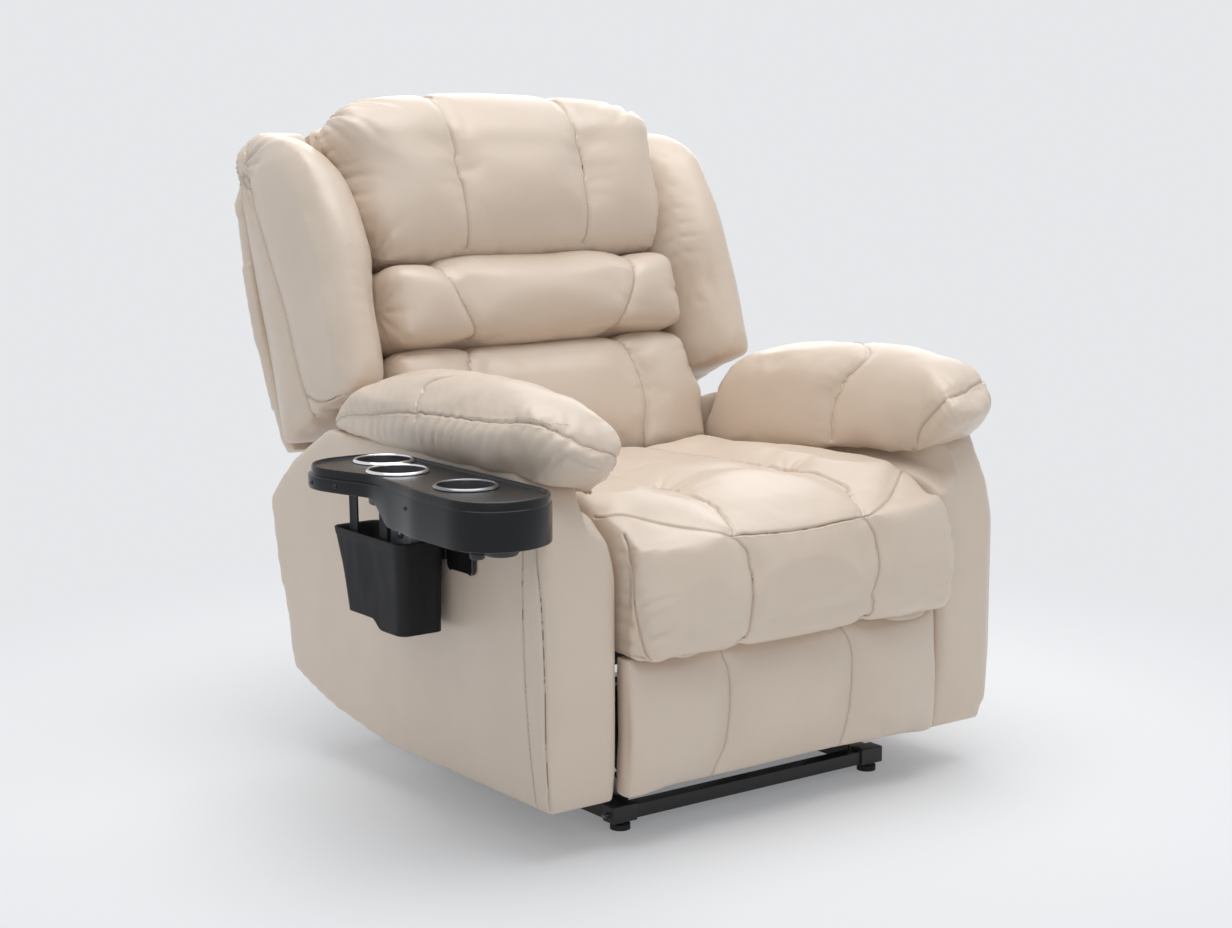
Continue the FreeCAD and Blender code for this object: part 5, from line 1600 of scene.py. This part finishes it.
def holed_plate(shell, outer_ring, height):
    """A flat plate from a vertex ring to the cup holes. Returns the rings of the holes."""
    edges = [shell.edges.get(pair) for pair in zip(outer_ring, outer_ring[1:] + outer_ring[:1])]
    holes = []
    for centre in CUPS:
        ring = [shell.verts.new(point) for point in circle(centre, HOLE_RADIUS, height, HOLE_STEPS)]
        edges += [shell.edges.new((ring[i], ring[(i + 1) % HOLE_STEPS])) for i in range(HOLE_STEPS)]
        holes.append(ring)
    own_height = {vert: vert.co.z for vert in outer_ring}
    for vert in outer_ring:
        vert.co.z = height
    bmesh.ops.triangle_fill(shell, use_beauty=True, edges=edges, normal=(0, 0, 1))
    for vert, z in own_height.items():
        vert.co.z = z
    return holes


shell = bmesh.new()
made = skin(shell, [[(x, y, z) for (x, y), z in zip(ring, height)] for ring, height in rings])
top_holes = holed_plate(shell, made[0], TRAY_DISH)
low_holes = holed_plate(shell, made[-1], TRAY_FLOOR)
for upper, under in zip(top_holes, low_holes):
    bridge(shell, upper, under)
for y in FLOOR_CUTS:
    flat = [face for face in shell.faces if face.is_valid and face.calc_center_median().z < 0.5115
            and abs(face.normal.z) > 0.9]
    geometry = flat + list({edge for face in flat for edge in face.edges}) \
        + list({vert for face in flat for vert in face.verts})
    bmesh.ops.bisect_plane(shell, geom=geometry, plane_co=(0, y, 0), plane_no=(0, 1, 0), dist=1e-6)
for vert in shell.verts:
    if abs(vert.co.z - TRAY_FLOOR) < 1e-6:
        vert.co.z -= LOBE_DEPTH * ease(vert.co.y, LOBE_STARTS, LOBE_FULL)
tray = new_piece("tray_moulded", shell, tray_plastic)
shade_by_angle(tray, 28)
place_hard(tray, "chassis", ["tray_body"])

# %% [markdown]
# ## Cup wells and rings
#
# Each cup stands in a turned well with a ribbed floor. A bright rolled ring covers the joint
# between well and tray. The front ring is a darker satin metal, as in the photograph.

# %% Wells, rings and knob
WELL_PROFILE = [(0, 0.4990), (0.0060, 0.4990), (0.0064, 0.4984)]
for radius in (0.012, 0.018, 0.024, 0.030):
    WELL_PROFILE += [(radius - 0.0016, 0.4984), (radius - 0.0012, 0.4990), (radius, 0.4990),
                     (radius + 0.0004, 0.4984)]
WELL_PROFILE += [(0.0345, 0.4984), (0.0368, 0.4994), (0.0380, 0.5018), (0.0384, 0.5060), (0.0390, 0.5390),
                 (0.0394, 0.5398), (0.0404, 0.5400), (0.0410, 0.5394), (0.0410, 0.4960), (0.0402, 0.4944),
                 (0.0380, 0.4940), (0, 0.4940)]
RING_PROFILE = [(0.0392, 0.5392), (0.0390, 0.5412), (0.0396, 0.5424), (0.0408, 0.5428), (0.0424, 0.5425),
                (0.0438, 0.5414), (0.0448, 0.5400), (0.0450, 0.5390), (0.0446, 0.5384), (0.0420, 0.5384),
                (0.0392, 0.5392)]
KNOB_PROFILE = [(0.0, 0.4601), (0.0078, 0.4600), (0.0094, 0.4608), (0.0100, 0.4622), (0.0100, 0.4672),
                (0.0094, 0.4686), (0.0070, 0.4692), (0.0050, 0.4694), (0.0050, 0.4762), (0.0, 0.4764)]
BOSS_PROFILE = [(0, 0.4662), (0.0185, 0.4660), (0.0212, 0.4668), (0.0228, 0.4688), (0.0236, 0.4720),
                (0.0238, 0.4768), (0, 0.4768)]
KNOB_CENTRE, BOSS_CENTRE = (-0.566, -0.440), (-0.543, -0.462)
KNOB_STEPS, KNOB_FLUTES, FLUTE_DEPTH, FLUTES_FROM = 96, 16, 0.055, 0.009
SATIN_FROM = -0.27

wells = turned_piece("cup_wells_turned", WELL_PROFILE, CUPS, 64, black_plastic)
place_hard(wells, "chassis", ["cup_wells"])

cup_rings = turned_piece("cup_rings_turned", RING_PROFILE, CUPS, 72, chrome, 60)
cup_rings.data.materials.append(satin_ring)
for face in cup_rings.data.polygons:
    face.material_index = 1 if face.center.y < SATIN_FROM else 0
place_hard(cup_rings, "chassis", ["tray_rings"])


def fluted(profile, centre):
    """Rings of a knob whose widest part is cut with shallow flutes."""
    rings = []
    for radius, height in profile:
        depth = FLUTE_DEPTH * (radius > FLUTES_FROM)
        ring = []
        for i in range(KNOB_STEPS):
            flute = 1 - depth * (0.5 + 0.5 * math.cos(i * math.pi * 2 * KNOB_FLUTES / KNOB_STEPS))
            ring.append((centre[0] + radius * flute * math.cos(2 * math.pi * i / KNOB_STEPS),
                         centre[1] + radius * flute * math.sin(2 * math.pi * i / KNOB_STEPS), height))
        rings.append(ring)
    return rings


shell = bmesh.new()
skin(shell, fluted(KNOB_PROFILE, KNOB_CENTRE))
bmesh.ops.remove_doubles(shell, verts=shell.verts, dist=1e-6)
knob = new_piece("tray_knob_turned", shell, black_plastic)
shade_by_angle(knob, 40)
place_hard(knob, "chassis", ["tray_knob"])

boss = turned_piece("tray_boss_turned", BOSS_PROFILE, [BOSS_CENTRE], 64, black_plastic)
place_hard(boss, "chassis", [])

# %% [markdown]
# ## The pocket
#
# The pocket is a cloth bag sewn from one wrap of fabric and a boxed bottom. It hangs from two
# straps, so its rim is held and its walls bow and crease. It is lofted here: a rounded
# rectangle repeated from the bottom to the rim and back down the inside, with slow upright folds.

# %% Pocket loft
BAG_LOW, BAG_TOP = 0.298, 0.434
BAG_FOOT, BAG_RIM = (-0.5275, -0.184, -0.455, -0.028), (-0.5335, -0.1895, -0.4515, 0.0015)
BAG_CORNER, BAG_WALL = 0.0150, 0.0022
HEM, HEM_THICKER = 0.0125, 0.0005
SIDE_STEPS, CORNER_STEPS = 22, 7


def bag_ring(x0, y0, x1, y1, corner):
    """A rounded rectangle, counter-clockwise from its first side."""
    points = []
    spots = [((x1 - corner, y0 + corner), -90), ((x1 - corner, y1 - corner), 0),
             ((x0 + corner, y1 - corner), 90), ((x0 + corner, y0 + corner), 180)]
    for number, ((cx, cy), first) in enumerate(spots):
        for i in range(CORNER_STEPS):
            angle = math.radians(first + 90 * i / (CORNER_STEPS - 1))
            points.append((cx + corner * math.cos(angle), cy + corner * math.sin(angle)))
        (nx, ny), turn = spots[(number + 1) % 4]
        angle = math.radians(turn)
        last, following = points[-1], (nx + corner * math.cos(angle), ny + corner * math.sin(angle))
        for i in range(1, SIDE_STEPS):
            share = i / SIDE_STEPS
            points.append([a + (b - a) * share for a, b in zip(last, following)])
    return np.array(points)


def folds_of(ring, height, fine, tall, shift=0):
    """Slow noise over a ring of the wall, drawn out along its height."""
    return np.array([noise.noise(Vector((x * fine, y * fine, height * tall + shift))) for x, y in ring])


def bag_wall(height, inside):
    """One ring of the bag's outer or inner wall."""
    share = (height - BAG_LOW) / (BAG_TOP - BAG_LOW)
    x0, y0, x1, y1 = [foot_value + (rim - foot_value) * share for foot_value, rim in zip(BAG_FOOT, BAG_RIM)]
    wall = BAG_WALL if inside else 0.0
    ring = bag_ring(x0 + wall, y0 + wall, x1 - wall, y1 - wall, BAG_CORNER - wall * 0.6)
    outwards = ring - np.array([(x0 + x1) / 2, (y0 + y1) / 2])
    outwards /= np.array([x1 - x0, y1 - y0])
    outwards /= np.linalg.norm(outwards, axis=1)[:, None]
    tight = math.sin(math.pi * min(max(share, 0), 1)) ** 0.7
    bow = (ring[:, 0] < x0 + 0.004) * np.sin(np.pi * np.clip((ring[:, 1] - y0) / (y1 - y0), 0, 1))
    folds = -0.0016 + 0.0021 * folds_of(ring, height, 46, 9) + 0.0006 * folds_of(ring, height, 130, 22, 7)
    shift = folds * tight - 0.0024 * bow * tight
    if height > BAG_TOP - HEM and not inside:
        shift = shift + HEM_THICKER
    return ring + outwards * np.minimum(shift, 0.0004)[:, None]


def step_up(y):
    """The rear of the bag's bottom is cut higher than its front."""
    return 0.014 * ease(y, -0.128, -0.102)


def raised(ring, height):
    rise = (BAG_TOP - height) / (BAG_TOP - BAG_LOW)
    return [(x, y, height + step_up(y) * rise) for x, y in ring]


def bottom(shell, ring, height):
    """Close the bag under a ring, with a slightly creased bottom."""
    middle = sum((vert.co for vert in ring), Vector()) / len(ring)
    previous = ring
    for scale in (0.93, 0.72, 0.4):
        following = []
        for vert in ring:
            spot = middle.lerp(vert.co, scale)
            crease = 0.0012 * noise.noise(Vector((spot.x * 40, spot.y * 40, 3)))
            following.append(shell.verts.new((spot.x, spot.y, height + step_up(spot.y) + crease)))
        bridge(shell, previous, following)
        previous = following
    shell.faces.new(previous)


levels = [BAG_LOW + 0.0012, BAG_LOW + 0.004, BAG_LOW + 0.009]
levels += list(np.linspace(BAG_LOW + 0.016, BAG_TOP - HEM - 0.002, 20))
levels += [BAG_TOP - HEM - 0.0004, BAG_TOP - HEM + 0.0008, BAG_TOP - 0.008, BAG_TOP - 0.004, BAG_TOP - 0.0012]
outside = [raised(bag_wall(height, False), height) for height in levels]
crown = [raised(bag_wall(BAG_TOP, False) * 0.5 + bag_wall(BAG_TOP, True) * 0.5, BAG_TOP)]
inner = [raised(bag_wall(height, True), height + 0.0016) for height in levels[::-1]]
inner[0] = raised(bag_wall(levels[-1], True), levels[-1])
shell = bmesh.new()
made = skin(shell, outside + crown + inner)
bottom(shell, made[0], BAG_LOW)
bottom(shell, made[-1], BAG_LOW + 0.0028)
bag = new_piece("pocket_sewn", shell, pocket_cloth)
shade_by_angle(bag, 50)
place_hard(bag, "chassis", ["pocket"])
low, high = get_points(bag).min(0), get_points(bag).max(0)

# %% [markdown]
# ## Straps, bracket, panel and handset
#
# The straps are flat woven webbing with thicker edges. The bracket, the touch panel, the handset
# and its keys keep their CAD shape with rounded edges. The signs on panel and keys are thin
# raised ink: rings, a triangle, a dot and two arrows.

# %% Straps and moulded parts
STRAP_X, STRAP_LOW, STRAP_HIGH = -0.5245, 0.349, 0.4935
STRAP_SIDES = ((-0.1450, -0.1240), (-0.0630, -0.0400))
STRAP_SECTION = [(0.0, 0.0009), (0.03, 0.0014), (0.10, 0.00145), (0.16, 0.0010), (0.35, 0.0010),
                 (0.65, 0.0010), (0.84, 0.0010), (0.90, 0.00145), (0.97, 0.0014), (1.0, 0.0009)]
PANEL_REAR, PANEL_DEPTH_SHARE = -0.182, 0.71
PANEL_HEAD, PANEL_HEIGHT_SHARE = 0.470, 0.93

shell = bmesh.new()
for y0, y1 in STRAP_SIDES:
    rings = []
    for height in np.linspace(STRAP_LOW, STRAP_HIGH, 22):
        sway = 0.0004 * math.sin(height * 60)
        front = [(STRAP_X - t + sway, y0 + (y1 - y0) * s, height) for s, t in STRAP_SECTION]
        back = [(STRAP_X + t + sway, y0 + (y1 - y0) * s, height) for s, t in STRAP_SECTION[::-1]]
        rings.append(front + back)
    skin(shell, rings, capped=True)
straps = new_piece("hanger_straps_woven", shell, pocket_cloth)
shade_by_angle(straps, 50)
place_hard(straps, "chassis", ["hanger_straps"])


def shape_panel_plate(points):
    """The touch panel is a little shorter than its solid."""
    points[:, 1] = PANEL_REAR + (points[:, 1] - PANEL_REAR) * PANEL_DEPTH_SHARE
    points[:, 2] = PANEL_HEAD + (points[:, 2] - PANEL_HEAD) * PANEL_HEIGHT_SHARE
    return points


for node, width, material, body, slot in (
        ("tray_bracket", 0.0009, black_steel, "chassis", "black_steel"),
        ("control_panel", 0.0016, panel_gloss, "chassis", "gloss_black"),
        ("handset", 0.0030, grey_plastic, "chassis", "grey_plastic"),
        ("key_raise", 0.0007, key_plastic, "key_raise", "key_plastic"),
        ("key_lower", 0.0007, key_plastic, "key_lower", "key_plastic"),
        ("base_end_caps", 0.0018, black_plastic, "base", "black_plastic")):
    piece = rounded(node, width, material)
    if node == "control_panel":
        reshape(piece, shape_panel_plate)
    place_hard(piece, body, [node])

# %% Signs
INK_HEIGHT, INK_ROOT = 0.00018, 0.0001
PANEL_FACE = -0.450
PANEL_SIGNS = [((-0.1945, 0.4095), (0.0042, 0.0033), 28), ((-0.2080, 0.4065), (0.0052, 0.0038), 3),
               ((-0.2225, 0.4035), (0.0036, 0.0027), 20), ((-0.2225, 0.4103), (0.0022, 0.0014), 20),
               ((-0.2200, 0.4300), (0.0010,), 16)]
KEY_SIGNS = [("key_raise", 0.443, 90), ("key_lower", 0.419, -90)]
KEY_SIGN_Y, KEY_SIGN_RADIUS = -0.152, 0.0046


def sign(shell, loops, x):
    """A thin raised outline from two closed loops of (y, z) points, or a filled shape from one."""
    front = [[shell.verts.new((x - INK_HEIGHT, y, z)) for y, z in loop] for loop in loops]
    back = [[shell.verts.new((x + INK_ROOT, y, z)) for y, z in loop] for loop in loops]
    for first, second in zip(front, back):
        bridge(shell, first, second)
    if len(loops) == 2:
        bridge(shell, *front)
        bridge(shell, *back)
    else:
        shell.faces.new(front[0])
        shell.faces.new(back[0])


def polygon_loop(centre, radius, corners, turn=90.0):
    angles = [math.radians(turn + 360 * i / corners) for i in range(corners)]
    return [(centre[0] + radius * math.cos(angle), centre[1] + radius * math.sin(angle)) for angle in angles]


shell = bmesh.new()
for centre, radii, corners in PANEL_SIGNS:
    sign(shell, [polygon_loop(centre, radius, corners) for radius in radii], PANEL_FACE)
place_hard(new_piece("panel_signs", shell, pale_ink), "chassis", [])
for key, height, turn in KEY_SIGNS:
    shell = bmesh.new()
    sign(shell, [polygon_loop((KEY_SIGN_Y, height), KEY_SIGN_RADIUS, 3, turn)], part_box(key)[0][0])
    place_hard(new_piece(key + "_arrow", shell, pale_ink), key, [])

# %% [markdown]
# ## Screws
#
# Screws repeat, so one small screw is modelled once and a Geometry Nodes tree sets it at every
# place, turned to the surface that it holds. The places are dropped onto the parts, so each
# screw sits flat.

# %% Screw tree
SCREW_PROFILE = [(0, -0.0006), (0.0030, -0.0006), (0.0031, 0.0004), (0.0026, 0.0013), (0.0014, 0.0018),
                 (0, 0.0018)]
TRAY_SCREWS = [(-625, -156, 520), (-612, -318, 513), (-622, -100, 520)]
HANDSET_SCREWS = [(-480, -170, 330), (-480, -134, 330)]

shell = bmesh.new()
spun(shell, SCREW_PROFILE, (0, 0), 16)
cut_faces = [face for face in shell.faces if face.calc_center_median().z > 0.0015
             and face.calc_center_median().xy.length < 0.0013]
bmesh.ops.inset_region(shell, faces=cut_faces, thickness=0.0002)
for face in cut_faces:
    for vert in face.verts:
        vert.co.z -= 0.0003
screw = new_piece("screw_pattern", shell)
shade_by_angle(screw, 40)

screw_tree, given, end, turn = scatter_group(
    "screws_on_points", [("Screw", "NodeSocketObject", None), ("Size", FLOAT, 1.0),
                         ("Material", MATERIAL, None)])
cloud = add(screw_tree, "GeometryNodeMeshToPoints", {"Mesh": given["Geometry"]})
info = add(screw_tree, "GeometryNodeObjectInfo", {"Object": given["Screw"]}).outputs["Geometry"]
scattered(screw_tree, end, cloud, info, turn, given["Size"], given["Material"])


def screws(name, body, host, places, material, size):
    """Set screws on a part's surface."""
    host_surface = surface_of(host)
    hits = [host_surface.find_nearest(place) for place in mm(places)]
    piece = marked_mesh(name, [hit[0] for hit in hits], [], [hit[1] for hit in hits])
    grown(piece, screw_tree, {"Screw": screw, "Size": size, "Material": material})
    shade_by_angle(piece, 40)
    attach(piece, body)
    print(name, len(hits), "screws")


screws("tray_screws", "chassis", tray, TRAY_SCREWS, black_steel, 1.1)
screws("handset_screws", "chassis", bpy.data.objects["handset_moulded"], HANDSET_SCREWS, black_steel,
       0.8)
bpy.data.objects.remove(screw)

# %% [markdown]
# ## Finishes on the carried-over frame
#
# Steel links, rails and drives keep their CAD shape. Each material slot is given the finish that
# belongs to it. The board is covered in the cover's own cloth, since a strip of it shows beside
# the wings.

# %% Finishes for CAD nodes
FINISHES = {"upholstery": cover, "black_steel": black_steel, "link_steel": link_steel, "rod_steel": rod_steel,
            "black_plastic": black_plastic, "gloss_black": panel_gloss, "chrome": chrome, "rubber": rubber,
            "pocket_fabric": pocket_cloth, "grey_plastic": grey_plastic, "key_plastic": key_plastic,
            "board_wood": cover}
for node in nodes.values():
    for slot in node.material_slots:
        slot.material = FINISHES[slot.material.name.split(".")[0]]
print("finishes on CAD nodes:", len(FINISHES))
